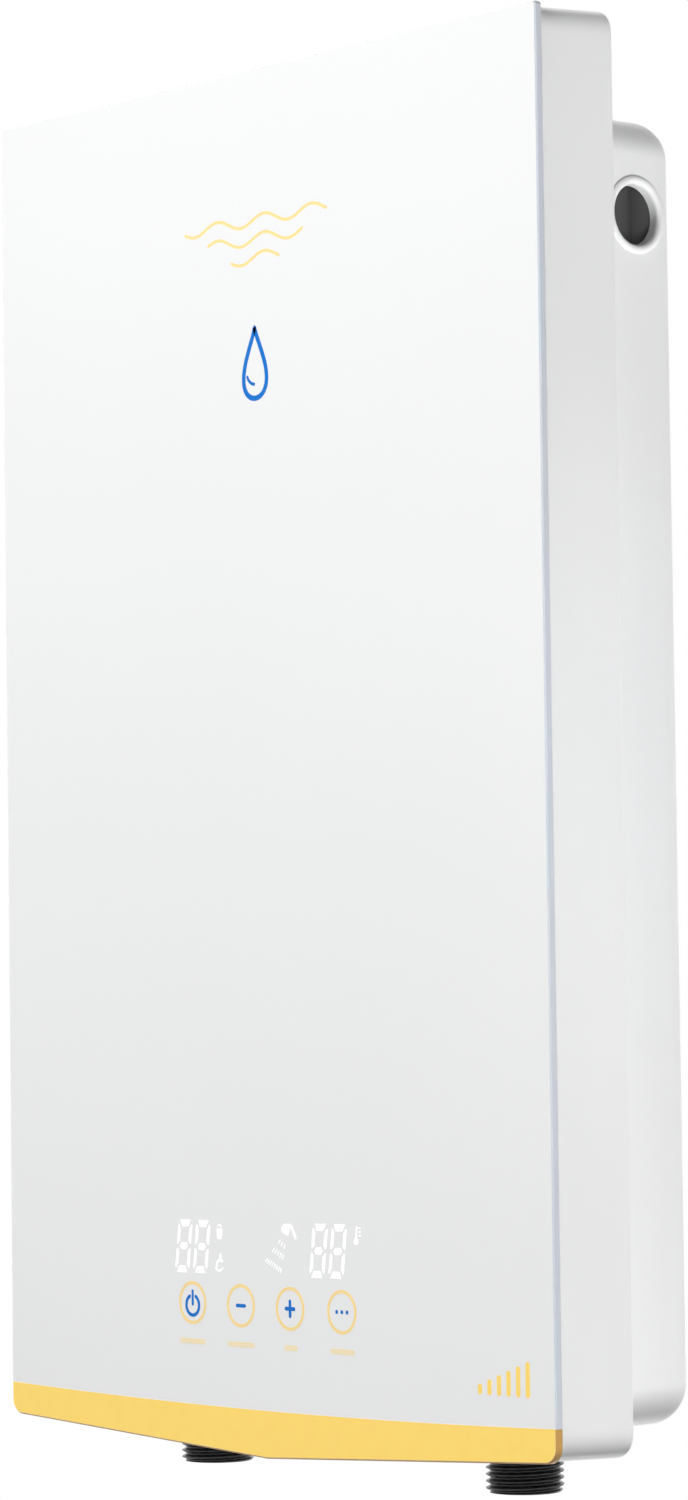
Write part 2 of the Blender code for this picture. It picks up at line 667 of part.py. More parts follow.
def build_frame():
    """Ring-shaped moulding: side walls under the glass and a ledge at the back that meets the casing."""
    window = casing_outline(WINDOW_OFFSET)
    rings = [
        lifted(frame_outline(0), FRAME_FRONT),
        lifted(frame_outline(0, 1), FRAME_BACK - FRAME_BACK_CHAMFER),
        lifted(frame_outline(FRAME_BACK_CHAMFER, 1), FRAME_BACK),
        lifted(window, FRAME_BACK),
        lifted(window, LEDGE_FRONT),
        lifted(frame_outline(FRAME_WALL, 1), LEDGE_FRONT),
        lifted(frame_outline(FRAME_WALL), FRAME_FRONT),
    ]
    frame = piece("front_frame", loft(bmesh.new(), rings, closed=True), "white_abs")

    ribs = bmesh.new()
    wall_face = PANEL_HALF - FRAME_INSET - FRAME_WALL
    top_face = PANEL_HIGH - FRAME_INSET - FRAME_WALL
    half_rib = FRAME_RIB_THICKNESS / 2
    bite = FRAME_WALL / 2
    back = LEDGE_FRONT + FRAME_LEDGE / 2
    for share in FRAME_RIB_SHARES_SIDE:
        z = share * PANEL_HEIGHT / 2 + (PANEL_LOW + PANEL_HIGH) / 2
        for side in (-1, 1):
            ends = sorted((side * (wall_face + bite), side * (wall_face - FRAME_RIB_REACH)))
            block(ribs, (ends[0], FRAME_FRONT, z - half_rib), (ends[1], back, z + half_rib))
    for share in FRAME_RIB_SHARES_TOP:
        x = share * PANEL_HALF
        low = top_face - FRAME_RIB_REACH
        high = top_face + bite + FRAME_DRAFT_TOP / 2
        block(ribs, (x - half_rib, FRAME_FRONT, low), (x + half_rib, back, high))
    fuse(frame, ribs)

    bosses = bmesh.new()
    screw_y = cover_screw_y()
    boss_top = CASING_LOW + TONGUE_OFFSET - GAP
    post_z = carrier_post_z()
    for side in (-1, 1):
        x = side * LUG_X
        low = frame_floor_z(x) - FRAME_WALL / 2
        rod(bosses, SCREW_BOSS_RADIUS, (x, screw_y, low), (x, screw_y, boss_top))
        x = side * CARRIER_POST_X
        start = (x, LEDGE_FRONT + FRAME_LEDGE / 2, post_z)
        rod(bosses, CARRIER_POST_RADIUS, start, (x, CARRIER_BACK + GAP, post_z), SMALL_SIDES)
    fuse(frame, bosses)

    holes = bmesh.new()
    notch = THREAD_RADIUS + NOTCH_CLEARANCE
    for side in (-1, 1):
        x = side * LUG_X
        hole = SCREW_RADIUS + SCREW_CLEARANCE
        below = (x, screw_y, PANEL_LOW - PANEL_POINT - OVERRUN)
        rod(holes, hole, below, (x, screw_y, boss_top + OVERRUN), SMALL_SIDES)
        x = side * CONNECTOR_X
        low = (x, -CONNECTOR_SETBACK, PANEL_LOW - PANEL_POINT - OVERRUN)
        rod(holes, notch, low, (x, -CONNECTOR_SETBACK, CASING_LOW + RIM_LAND + OVERRUN), FINE_SIDES)
    cut(frame, holes)
    sinks = bmesh.new()
    for side in (-1, 1):
        x = side * LUG_X
        low = (x, screw_y, PANEL_LOW - PANEL_POINT - OVERRUN)
        rod(sinks, SCREW_HEAD_RADIUS + GAP, low, (x, screw_y, frame_floor_z(x)))
    cut(frame, sinks)
    return frame


def cover_screw_y():
    """The cover screws stand midway along the casing's lugs."""
    return TONGUE_FRONT - LUG_REACH / 2


def carrier_post_z():
    """The carrier's posts stand on the ledge between the window and the frame's bottom wall."""
    window_low = CASING_LOW + WINDOW_OFFSET
    return (window_low + frame_floor_z(CARRIER_POST_X)) / 2


def keyhole_places():
    """Centre of each keyhole's round entry: two near the top and one low on the middle line."""
    return ((-KEYHOLE_X, KEYHOLE_Z), (KEYHOLE_X, KEYHOLE_Z), (0.0, KEYHOLE_LOW_Z))


def build_casing():
    """Deep tub with a rounded back, a stepped rim, keyhole pockets, posts and a lipped cable entry."""
    rings = [
        lifted(casing_outline(RIM_LAND), TONGUE_FRONT), lifted(casing_outline(TONGUE_OFFSET), TONGUE_FRONT),
    ]
    rings.append(lifted(casing_outline(TONGUE_OFFSET), -CASING_DEPTH))
    rings.append(lifted(casing_outline(0), -CASING_DEPTH))
    for step in range(FILLET_STEPS + 1):
        angle = math.pi / 2 * step / FILLET_STEPS
        offset = CASING_FILLET * (1 - math.cos(angle))
        rings.append(lifted(casing_outline(offset), -CASING_FILLET + CASING_FILLET * math.sin(angle)))
    inner = [lifted(casing_outline(RIM_LAND), -CASING_DEPTH + RIM_LAND_DEPTH)]
    inner.append(lifted(casing_outline(CASING_WALL), -CASING_DEPTH + RIM_LAND_DEPTH))
    inner_fillet = CASING_FILLET - CASING_WALL
    for step in range(FILLET_STEPS + 1):
        angle = math.pi / 2 * step / FILLET_STEPS
        offset = CASING_WALL + inner_fillet * (1 - math.cos(angle))
        inner.append(lifted(casing_outline(offset), FLOOR - inner_fillet + inner_fillet * math.sin(angle)))
    shape = bmesh.new()
    loft(shape, list(reversed(inner)) + rings)
    casing = piece("rear_casing", shape, "white_abs")

    bite = CASING_WALL / 2
    posts = bmesh.new()
    for x, z in board_post_places():
        tip = BOARD_FRONT - BOARD_HOLE
        profile = stake_profile(BOARD_POST_RADIUS, BOARD_HOLE - GAP, BOARD_BACK + GAP, tip)
        turned(posts, profile, (x, 0, z), "Y", SMALL_SIDES)
    for x, z in tank_ear_places():
        tip = EAR_BACK - EAR_THICKNESS - EAR_HOLE
        profile = stake_profile(EAR_HEIGHT / 2, EAR_HOLE - GAP, EAR_BACK + GAP, tip)
        turned(posts, profile, (x, 0, z), "Y", SMALL_SIDES)
    half = TERMINAL_WIDTH / 2 - GAP
    low = (TERMINAL_X - half, -TERMINAL_BASE, ENTRY_Z - TERMINAL_HEIGHT / 2)
    block(posts, low, (TERMINAL_X + half, FLOOR + bite, ENTRY_Z + TERMINAL_HEIGHT / 2))
    clamp_x = clamp_centre_x()
    low = (clamp_x - CLAMP_THICKNESS / 2, -CLAMP_BASE_RISE - CASING_WALL, ENTRY_Z - CLAMP_LENGTH / 2)
    block(posts, low, (clamp_x + CLAMP_THICKNESS / 2, FLOOR + bite, ENTRY_Z + CLAMP_LENGTH / 2))
    fuse(casing, posts)

    pockets = bmesh.new()
    for x, z in keyhole_places():
        radius = KEYHOLE_HEAD_RADIUS + KEYHOLE_POCKET_WALL
        depth = KEYHOLE_PLATE + KEYHOLE_POCKET_DEPTH + KEYHOLE_POCKET_WALL
        top = z + KEYHOLE_RISE + radius
        low = (x - radius, -depth, z - radius)
        block(pockets, low, (x + radius, FLOOR + bite, top), KEYHOLE_POCKET_WALL / 2)
    fuse(casing, pockets)

    fittings = bmesh.new()
    for side in (-1, 1):
        x = side * HOOK_X
        tongue_low = CASING_HIGH - RIM_LAND
        low = (x - HOOK_WIDTH / 2, LEDGE_FRONT - GAP - HOOK_THICKNESS, tongue_low)
        rise = CASING_HIGH - WINDOW_OFFSET + HOOK_RISE
        block(fittings, low, (x + HOOK_WIDTH / 2, LEDGE_FRONT - GAP, rise))
        x = side * LUG_X
        lug_low = CASING_LOW + TONGUE_OFFSET
        low = (x - LUG_WIDTH / 2, TONGUE_FRONT - LUG_REACH, lug_low)
        block(fittings, low, (x + LUG_WIDTH / 2, TONGUE_FRONT + TONGUE_THICKNESS, lug_low + LUG_HEIGHT))
    fuse(casing, fittings)

    entry = bmesh.new()
    face = CASING_HALF + ENTRY_LIP_HEIGHT
    lip = [
        (ENTRY_LIP_RADIUS, CASING_HALF - CASING_WALL / 2),
        (ENTRY_LIP_RADIUS, face - ENTRY_LIP_ROUND),
        (ENTRY_LIP_RADIUS - ENTRY_LIP_ROUND / 3, face - ENTRY_LIP_ROUND / 3),
        (ENTRY_LIP_RADIUS - ENTRY_LIP_ROUND, face),
    ]
    turned(entry, lip, (0, -ENTRY_SETBACK, ENTRY_Z), "X", FINE_SIDES)
    fuse(casing, entry)
    collar = bmesh.new()
    collar_radius = CABLE_SEAL_RADIUS + GAP + ENTRY_COLLAR_WALL
    inner_face = CASING_HALF - CASING_WALL
    start = (inner_face + CASING_WALL / 2, -ENTRY_SETBACK, ENTRY_Z)
    rod(collar, collar_radius, start, (inner_face - ENTRY_COLLAR_DEPTH, -ENTRY_SETBACK, ENTRY_Z), FINE_SIDES)
    fuse(casing, collar)

    holes = bmesh.new()
    for x, z in keyhole_places():
        keyhole = keyhole_outline(x, z)
        prism(holes, keyhole, "Y", OVERRUN, -KEYHOLE_PLATE - OVERRUN / 2)
    cut(casing, holes)
    wells = bmesh.new()
    for x, z in keyhole_places():
        radius = KEYHOLE_HEAD_RADIUS + GAP
        low = (x - radius, -KEYHOLE_PLATE - KEYHOLE_POCKET_DEPTH, z - radius)
        block(wells, low, (x + radius, -KEYHOLE_PLATE, z + KEYHOLE_RISE + radius))
    cut(casing, wells)

    seat = bmesh.new()
    start = (inner_face - ENTRY_COLLAR_DEPTH - OVERRUN, -ENTRY_SETBACK, ENTRY_Z)
    rod(seat, CABLE_SEAL_RADIUS + GAP, start, (inner_face, -ENTRY_SETBACK, ENTRY_Z), FINE_SIDES)
    cut(casing, seat)
    ways = bmesh.new()
    start = (inner_face - OVERRUN, -ENTRY_SETBACK, ENTRY_Z)
    rod(ways, ENTRY_RADIUS, start, (face + OVERRUN, -ENTRY_SETBACK, ENTRY_Z), FINE_SIDES)
    groove_end = clamp_x + CLAMP_THICKNESS / 2 + OVERRUN
    start = (clamp_x - CLAMP_THICKNESS / 2 - OVERRUN, -ENTRY_SETBACK, ENTRY_Z)
    rod(ways, CLAMP_GROOVE, start, (groove_end, -ENTRY_SETBACK, ENTRY_Z))
    for side in (-1, 1):
        prism(ways, connector_slot_outline(side * CONNECTOR_X), "Z", CASING_LOW - OVERRUN, slot_top())
        x = side * LUG_X
        lug_low = CASING_LOW + TONGUE_OFFSET
        hole_end = (x, cover_screw_y(), lug_low + LUG_HEIGHT + OVERRUN)
        hole_start = (x, cover_screw_y(), lug_low - OVERRUN)
        rod(ways, SCREW_RADIUS + SCREW_CLEARANCE, hole_start, hole_end, SMALL_SIDES)
    cut(casing, ways)
    reliefs = bmesh.new()
    for side in (-1, 1):
        x = side * CONNECTOR_X
        reach = CONNECTOR_FLANGE + 2 * GAP
        low = (x - reach, TONGUE_FRONT - OVERRUN, CASING_LOW + CASING_WALL)
        block(reliefs, low, (x + reach, -CASING_DEPTH + RIM_LAND_DEPTH, slot_top()))
    cut(casing, reliefs)
    return casing


def stake_profile(radius, pin_radius, shoulder, tip):
    """Post from the casing's floor to its shoulder, with a thinner pin that goes on through a hole."""
    return [(radius, FLOOR + CASING_WALL / 2), (radius, shoulder), (pin_radius, shoulder), (pin_radius, tip)]


def slot_top():
    """The slots in the casing's bottom go up through its wall and its thicker rim."""
    return CASING_LOW + RIM_LAND + OVERRUN


def connector_slot_outline(x):
    """U-shaped slot, open to the front, into which a connector's neck drops."""
    radius = CONNECTOR_NECK + SLOT_CLEARANCE
    points = [(x - radius, TONGUE_FRONT - OVERRUN)]
    steps = FINE_SIDES // 2
    for step in range(steps + 1):
        angle = math.pi - math.pi * step / steps
        points.append((x + radius * math.cos(angle), -CONNECTOR_SETBACK + radius * math.sin(angle)))
    points.append((x + radius, TONGUE_FRONT - OVERRUN))
    return points


def keyhole_outline(x, z):
    """Round entry below, narrow slot above it."""
    join = math.asin(KEYHOLE_SLOT_RADIUS / KEYHOLE_HEAD_RADIUS)
    points = []
    steps = ROUND_SIDES
    for step in range(steps + 1):
        angle = math.pi / 2 + join + (2 * math.pi - 2 * join) * step / steps
        points.append((x + KEYHOLE_HEAD_RADIUS * math.cos(angle), z + KEYHOLE_HEAD_RADIUS * math.sin(angle)))
    steps = SMALL_SIDES // 2
    for step in range(steps + 1):
        angle = math.pi * step / steps
        arc = (KEYHOLE_SLOT_RADIUS * math.cos(angle), KEYHOLE_SLOT_RADIUS * math.sin(angle))
        points.append((x + arc[0], z + KEYHOLE_RISE + arc[1]))
    return points


def board_post_places():
    left = POWER_BOARD_LEFT + BOARD_POST_INSET
    right = POWER_BOARD_RIGHT - BOARD_POST_INSET
    low = POWER_BOARD_LOW + BOARD_POST_INSET
    high = POWER_BOARD_HIGH - BOARD_POST_INSET
    return ((left, low), (right, low), (left, high), (right, high))


def tank_half_width():
    return CHAMBER_PITCH + CHAMBER_RADIUS


def tank_ear_places():
    x = tank_half_width() + EAR_REACH / 2 - GAP
    low = TANK_LOW + EAR_HEIGHT / 2
    high = TANK_HIGH - EAR_HEIGHT / 2
    return ((-x, low), (x, low), (-x, high), (x, high))


def clamp_centre_x():
    return CASING_HALF - CASING_WALL - CLAMP_INSET + CLAMP_THICKNESS / 2


def build_casing_seal():
    """Soft strip round the tongue at the top and sides, open below so that drips can leave."""
    outer = casing_outline(WINDOW_OFFSET + GAP)
    inner = casing_outline(TONGUE_OFFSET - GAP)
    back = -(CASING_DEPTH + GAP)
    front = back - SEAL_HEIGHT
    rings = [lifted(outer, back), lifted(inner, back), lifted(inner, front), lifted(outer, front)]
    seal = piece("casing_seal", loft(bmesh.new(), rings, closed=True), "grey_rubber")
    opening = bmesh.new()
    low_edge = CASING_LOW - OVERRUN
    block(
        opening, (-CASING_HALF - OVERRUN, front - OVERRUN, low_edge),
        (CASING_HALF + OVERRUN, back + OVERRUN, CASING_LOW + CASING_CORNER),
    )
    cut(seal, opening)
    return seal


def build_cable_entry():
    shape = bmesh.new()
    outer_x = CASING_HALF - CASING_WALL - GAP
    inner_x = outer_x - CABLE_SEAL_THICKNESS
    web = outer_x - CABLE_SEAL_WEB
    profile = [
        (CABLE_SEAL_BORE, outer_x), (CABLE_SEAL_RADIUS, outer_x), (CABLE_SEAL_RADIUS, inner_x),
        (ENTRY_RADIUS, inner_x), (ENTRY_RADIUS - CABLE_SEAL_WEB, web), (CABLE_SEAL_BORE, web),
    ]
    centre = (0, -ENTRY_SETBACK, ENTRY_Z)
    turned(shape, profile, centre, "X", FINE_SIDES, hollow=True)
    piece("cable_seal", shape, "black_rubber")

    x = clamp_centre_x()
    top = -(CLAMP_BASE_RISE + CASING_WALL + GAP)
    half_x = CLAMP_THICKNESS / 2
    half_z = CLAMP_LENGTH / 2
    shape = bmesh.new()
    front = -(ENTRY_SETBACK + CLAMP_GROOVE + CLAMP_WEB)
    chamfer = CLAMP_WEB / 3
    block(shape, (x - half_x, front, ENTRY_Z - half_z), (x + half_x, top, ENTRY_Z + half_z), chamfer)
    clamp = piece("cable_clamp", shape, "natural_nylon")
    groove = bmesh.new()
    start = (x - half_x - OVERRUN, -ENTRY_SETBACK, ENTRY_Z)
    rod(groove, CLAMP_GROOVE, start, (x + half_x + OVERRUN, -ENTRY_SETBACK, ENTRY_Z))
    cut(clamp, groove)


def build_terminal_block():
    """Three-pole mains terminal block: wire ways from both sides and a screw over each pole."""
    half_x = TERMINAL_WIDTH / 2
    half_z = TERMINAL_HEIGHT / 2
    back = -TERMINAL_BASE - GAP
    front = back - TERMINAL_DEPTH
    shape = bmesh.new()
    chamfer = TERMINAL_SCREW_RADIUS / 4
    low = (TERMINAL_X - half_x, front, ENTRY_Z - half_z)
    block(shape, low, (TERMINAL_X + half_x, back, ENTRY_Z + half_z), chamfer)
    made = piece("terminal_block", shape, "terminal_grey")
    ways = bmesh.new()
    pitch = TERMINAL_HEIGHT / 3
    for pole in (-1, 0, 1):
        z = ENTRY_Z + pole * pitch
        half_way = TERMINAL_WAY_WIDTH / 2
        way_front = front + TERMINAL_WAY_DEPTH
        x_end = TERMINAL_X + half_x + OVERRUN
        low = (x_end - TERMINAL_WAY_DEPTH - OVERRUN, way_front, z - half_way)
        block(ways, low, (x_end, way_front + TERMINAL_WAY_WIDTH, z + half_way))
        start = (TERMINAL_X, front - OVERRUN, z)
        end = (TERMINAL_X, front + TERMINAL_WAY_DEPTH - GAP, z)
        rod(ways, TERMINAL_SCREW_RADIUS, start, end, SMALL_SIDES)
    cut(made, ways)


def build_connector(name, side):
    """Threaded half-inch connector with a neck that drops in the casing's slot and a hexagon inside."""
    axis_x = side * CONNECTOR_X
    centre = (axis_x, -CONNECTOR_SETBACK, 0)
    profile = [
        (CONNECTOR_BORE, CONNECTOR_END),
        (THREAD_RADIUS - CONNECTOR_CHAMFER, CONNECTOR_END),
        (THREAD_RADIUS, CONNECTOR_END + CONNECTOR_CHAMFER),
        (THREAD_RADIUS, CASING_LOW - GAP),
        (CONNECTOR_NECK, CASING_LOW - GAP),
        (CONNECTOR_NECK, FLANGE_LOW + CONNECTOR_FLANGE_THICKNESS / 2),
        (SPIGOT_RADIUS, FLANGE_LOW + CONNECTOR_FLANGE_THICKNESS / 2),
        (SPIGOT_RADIUS, SPIGOT_TOP),
        (SPIGOT_BORE, SPIGOT_TOP),
        (SPIGOT_BORE, FLANGE_LOW),
        (CONNECTOR_BORE, FLANGE_LOW - CONNECTOR_BORE / 4),
    ]
    shape = bmesh.new()
    turned(shape, profile, centre, "Z", FINE_SIDES, hollow=True)
    made = piece(name, shape, "black_nylon")
    flange = bmesh.new()
    ring = [
        (SPIGOT_RADIUS - GAP, FLANGE_LOW), (CONNECTOR_FLANGE, FLANGE_LOW),
        (CONNECTOR_FLANGE, FLANGE_HIGH), (SPIGOT_RADIUS - GAP, FLANGE_HIGH),
    ]
    turned(flange, ring, centre, "Z", 6, hollow=True)
    fuse(made, flange)
    return made


def build_filter():
    """Thimble strainer that hangs by its flange in the top of the inlet."""
    radius = SPIGOT_BORE - GAP
    low = SPIGOT_TOP + GAP - FILTER_LENGTH
    high = SPIGOT_TOP + GAP + FILTER_FLANGE_THICKNESS
    flange = SPIGOT_RADIUS
    profile = [
        (radius - 2 * FILTER_WALL, low), (radius - FILTER_WALL, low), (radius, SPIGOT_TOP + GAP),
        (flange, SPIGOT_TOP + GAP), (flange, high), (radius - FILTER_WALL, high),
        (radius - 2 * FILTER_WALL, low + FILTER_WALL), (FILTER_WALL, low + FILTER_WALL), (FILTER_WALL, low),
    ]
    shape = bmesh.new()
    turned(shape, profile, (CONNECTOR_X, -CONNECTOR_SETBACK, 0), "Z", ROUND_SIDES, hollow=True)
    piece("inlet_filter", shape, "stainless")


def sensor_socket_low():
    return FLANGE_HIGH + GAP


def sensor_centre_z():
    """The rotor chamber sits on top of the lower socket."""
    return sensor_socket_low() + SENSOR_SOCKET_LENGTH + FILTER_FLANGE_THICKNESS + 2 * GAP + SENSOR_RADIUS


def sensor_top():
    return sensor_centre_z() + SENSOR_RADIUS + SENSOR_UPPER_LENGTH - SENSOR_WALL


def sensor_front():
    return -CONNECTOR_SETBACK - SENSOR_DEPTH / 2


def build_flow_sensor():
    """Housing, cover, axle and paddle rotor; the water turns the rotor and a magnet sensor counts it."""
    x, y, z = CONNECTOR_X, -CONNECTOR_SETBACK, sensor_centre_z()
    front, back = sensor_front(), sensor_front() + SENSOR_DEPTH
    socket_low = sensor_socket_low()
    filter_top = SPIGOT_TOP + GAP + FILTER_FLANGE_THICKNESS + GAP
    shape = bmesh.new()
    rod(shape, SENSOR_RADIUS, (x, front, z), (x, back, z), FINE_SIDES)
    body = piece("flow_sensor_body", shape, "black_nylon")
    lower = bmesh.new()
    lower_radius = SPIGOT_RADIUS + GAP + SENSOR_SOCKET_WALL
    upper_radius = PIPE_RADIUS + GAP + SENSOR_SOCKET_WALL
    rod(lower, lower_radius, (x, y, socket_low), (x, y, z - SENSOR_RADIUS / 2), FINE_SIDES)
    fuse(body, lower)
    upper = bmesh.new()
    rod(upper, upper_radius, (x, y, z + SENSOR_RADIUS / 2), (x, y, sensor_top()), FINE_SIDES)
    fuse(body, upper)
    boss = bmesh.new()
    boss_z = probe_boss_z()
    boss_end = x + upper_radius + PROBE_BOSS_REACH
    rod(boss, PROBE_BOSS_RADIUS, (x + upper_radius / 2, y, boss_z), (boss_end, y, boss_z))
    fuse(body, boss)
    bores = bmesh.new()
    chamber = SENSOR_RADIUS - SENSOR_WALL
    rod(bores, chamber, (x, front - OVERRUN, z), (x, back - SENSOR_BACK, z), FINE_SIDES)
    cut(body, bores)
    ways = bmesh.new()
    rod(ways, SPIGOT_RADIUS + GAP, (x, y, socket_low - OVERRUN), (x, y, filter_top), FINE_SIDES)
    rod(ways, PIPE_RADIUS + GAP, (x, y, sensor_top() + OVERRUN), (x, y, pipe_seat_z()))
    seat = back - SENSOR_BACK
    rod(ways, AXLE_RADIUS + GAP, (x, seat - OVERRUN, z), (x, seat + AXLE_SEAT, z), SMALL_SIDES)
    cut(body, ways)
    flow = bmesh.new()
    rod(flow, PIPE_BORE, (x, y, filter_top - OVERRUN), (x, y, z - chamber / 2))
    rod(flow, PIPE_BORE, (x, y, z + chamber / 2), (x, y, pipe_seat_z() + OVERRUN))
    cut(body, flow)
    probe_way = bmesh.new()
    rod(probe_way, PROBE_STEM_RADIUS + GAP, (x, y, boss_z), (boss_end + OVERRUN, y, boss_z), SMALL_SIDES)
    cut(body, probe_way)

    cover_back = front - GAP
    cover_front = cover_back - SENSOR_COVER_THICKNESS
    shape = bmesh.new()
    rod(shape, SENSOR_RADIUS, (x, cover_front, z), (x, cover_back, z), FINE_SIDES)
    cover = piece("flow_sensor_cover", shape, "black_nylon")
    seat = bmesh.new()
    rod(seat, AXLE_RADIUS + GAP, (x, cover_back - AXLE_SEAT, z), (x, cover_back + OVERRUN, z), SMALL_SIDES)
    cut(cover, seat)

    chamber_back = back - SENSOR_BACK
    shape = bmesh.new()
    axle_ends = (cover_back - AXLE_SEAT + GAP, chamber_back + AXLE_SEAT - GAP)
    rod(shape, AXLE_RADIUS, (x, axle_ends[0], z), (x, axle_ends[1], z), HINGE_SIDES)
    piece("rotor_axle", shape, "stainless")

    shape = bmesh.new()
    star = [(x + u, z + v) for u, v in rotor_outline()]
    prism(shape, star, "Y", cover_back + ROTOR_END_GAP, chamber_back - ROTOR_END_GAP)
    rotor = piece("flow_rotor", shape, "natural_nylon", origin=(x, y, z))
    bore = bmesh.new()
    bore_radius = AXLE_RADIUS + AXLE_CLEARANCE
    rod(bore, bore_radius, (x, cover_back, z), (x, chamber_back, z), HINGE_SIDES)
    cut(rotor, bore)

    shape = bmesh.new()
    board_back = cover_front - GAP
    board_front = board_back - BOARD_THICKNESS
    half_width, half_height = HALL_BOARD_WIDTH / 2, HALL_BOARD_HEIGHT / 2
    low = (x - half_width, board_front, z - half_height)
    block(shape, low, (x + half_width, board_back, z + half_height))
    board = piece("hall_board", shape, "circuit_board")
    chip = bmesh.new()
    half_chip = HALL_CHIP / 2
    chip_front = board_front - HALL_CHIP / 3
    block(chip, (x - half_chip, chip_front, z - half_chip), (x + half_chip, board_front + GAP, z + half_chip))
    fuse(board, chip)


def rotor_outline():
    """Star of curved blades round a hub, as one closed outline about the axle."""
    points = []
    turn = 2 * math.pi / BLADE_COUNT
    for blade in range(BLADE_COUNT):
        edges = []
        for step in range(BLADE_STEPS + 1):
            share = step / BLADE_STEPS
            radius = HUB_RADIUS + (BLADE_REACH - HUB_RADIUS) * share
            middle = turn * blade + BLADE_SWEEP * share
            half_angle = BLADE_THICKNESS / (2 * radius)
            edges.append((radius, middle - half_angle, middle + half_angle))
        for radius, low, high in edges:
            points.append((radius * math.cos(low), radius * math.sin(low)))
        for radius, low, high in reversed(edges):
            points.append((radius * math.cos(high), radius * math.sin(high)))
        valley = turn * (blade + 1 / 2)
        points.append((HUB_RADIUS * math.cos(valley), HUB_RADIUS * math.sin(valley)))
    return points


def probe_boss_z():
    """The inlet probe enters the upper socket midway between the chamber and the pipe."""
    return (sensor_centre_z() + SENSOR_RADIUS + pipe_seat_z()) / 2


def pipe_seat_z():
    """Level in the sensor's upper socket at which the inlet pipe ends."""
    return sensor_top() - PIPE_SEAT


def port_end_x():
    """The tank's ports end where the pipes' bends begin."""
    return CONNECTOR_X - PIPE_BEND


def inlet_port_z():
    return TANK_LOW + INLET_PORT_RISE


def outlet_port_z():
    return TANK_HIGH - OUTLET_PORT_DROP


def chamber_places():
    return (-CHAMBER_PITCH, 0.0, CHAMBER_PITCH)


def bolt_places():
    """Bolts stand in ears between the chambers, level with the chambers' front and back."""
    y = CHAMBER_RADIUS - HEAD_EAR_RADIUS
    x = CHAMBER_PITCH / 2
    return ((-x, -TANK_SETBACK - y), (x, -TANK_SETBACK - y), (-x, -TANK_SETBACK + y), (x, -TANK_SETBACK + y))


def tank_outline(web):
    """Three round chambers in a row, seen from above, with flat webs where they meet."""
    join = math.asin(web / CHAMBER_RADIUS)
    arcs = [(CHAMBER_PITCH, -math.pi + join, math.pi - join), (0.0, join, math.pi - join)]
    arcs += [(-CHAMBER_PITCH, join, 2 * math.pi - join), (0.0, math.pi + join, 2 * math.pi - join)]
    points = []
    for centre, first, last in arcs:
        steps = CHAMBER_ARC_STEPS * (2 if centre else 1)
        for step in range(steps + 1):
            angle = first + (last - first) * step / steps
            x = centre + CHAMBER_RADIUS * math.cos(angle)
            points.append((x, -TANK_SETBACK + CHAMBER_RADIUS * math.sin(angle)))
    return points


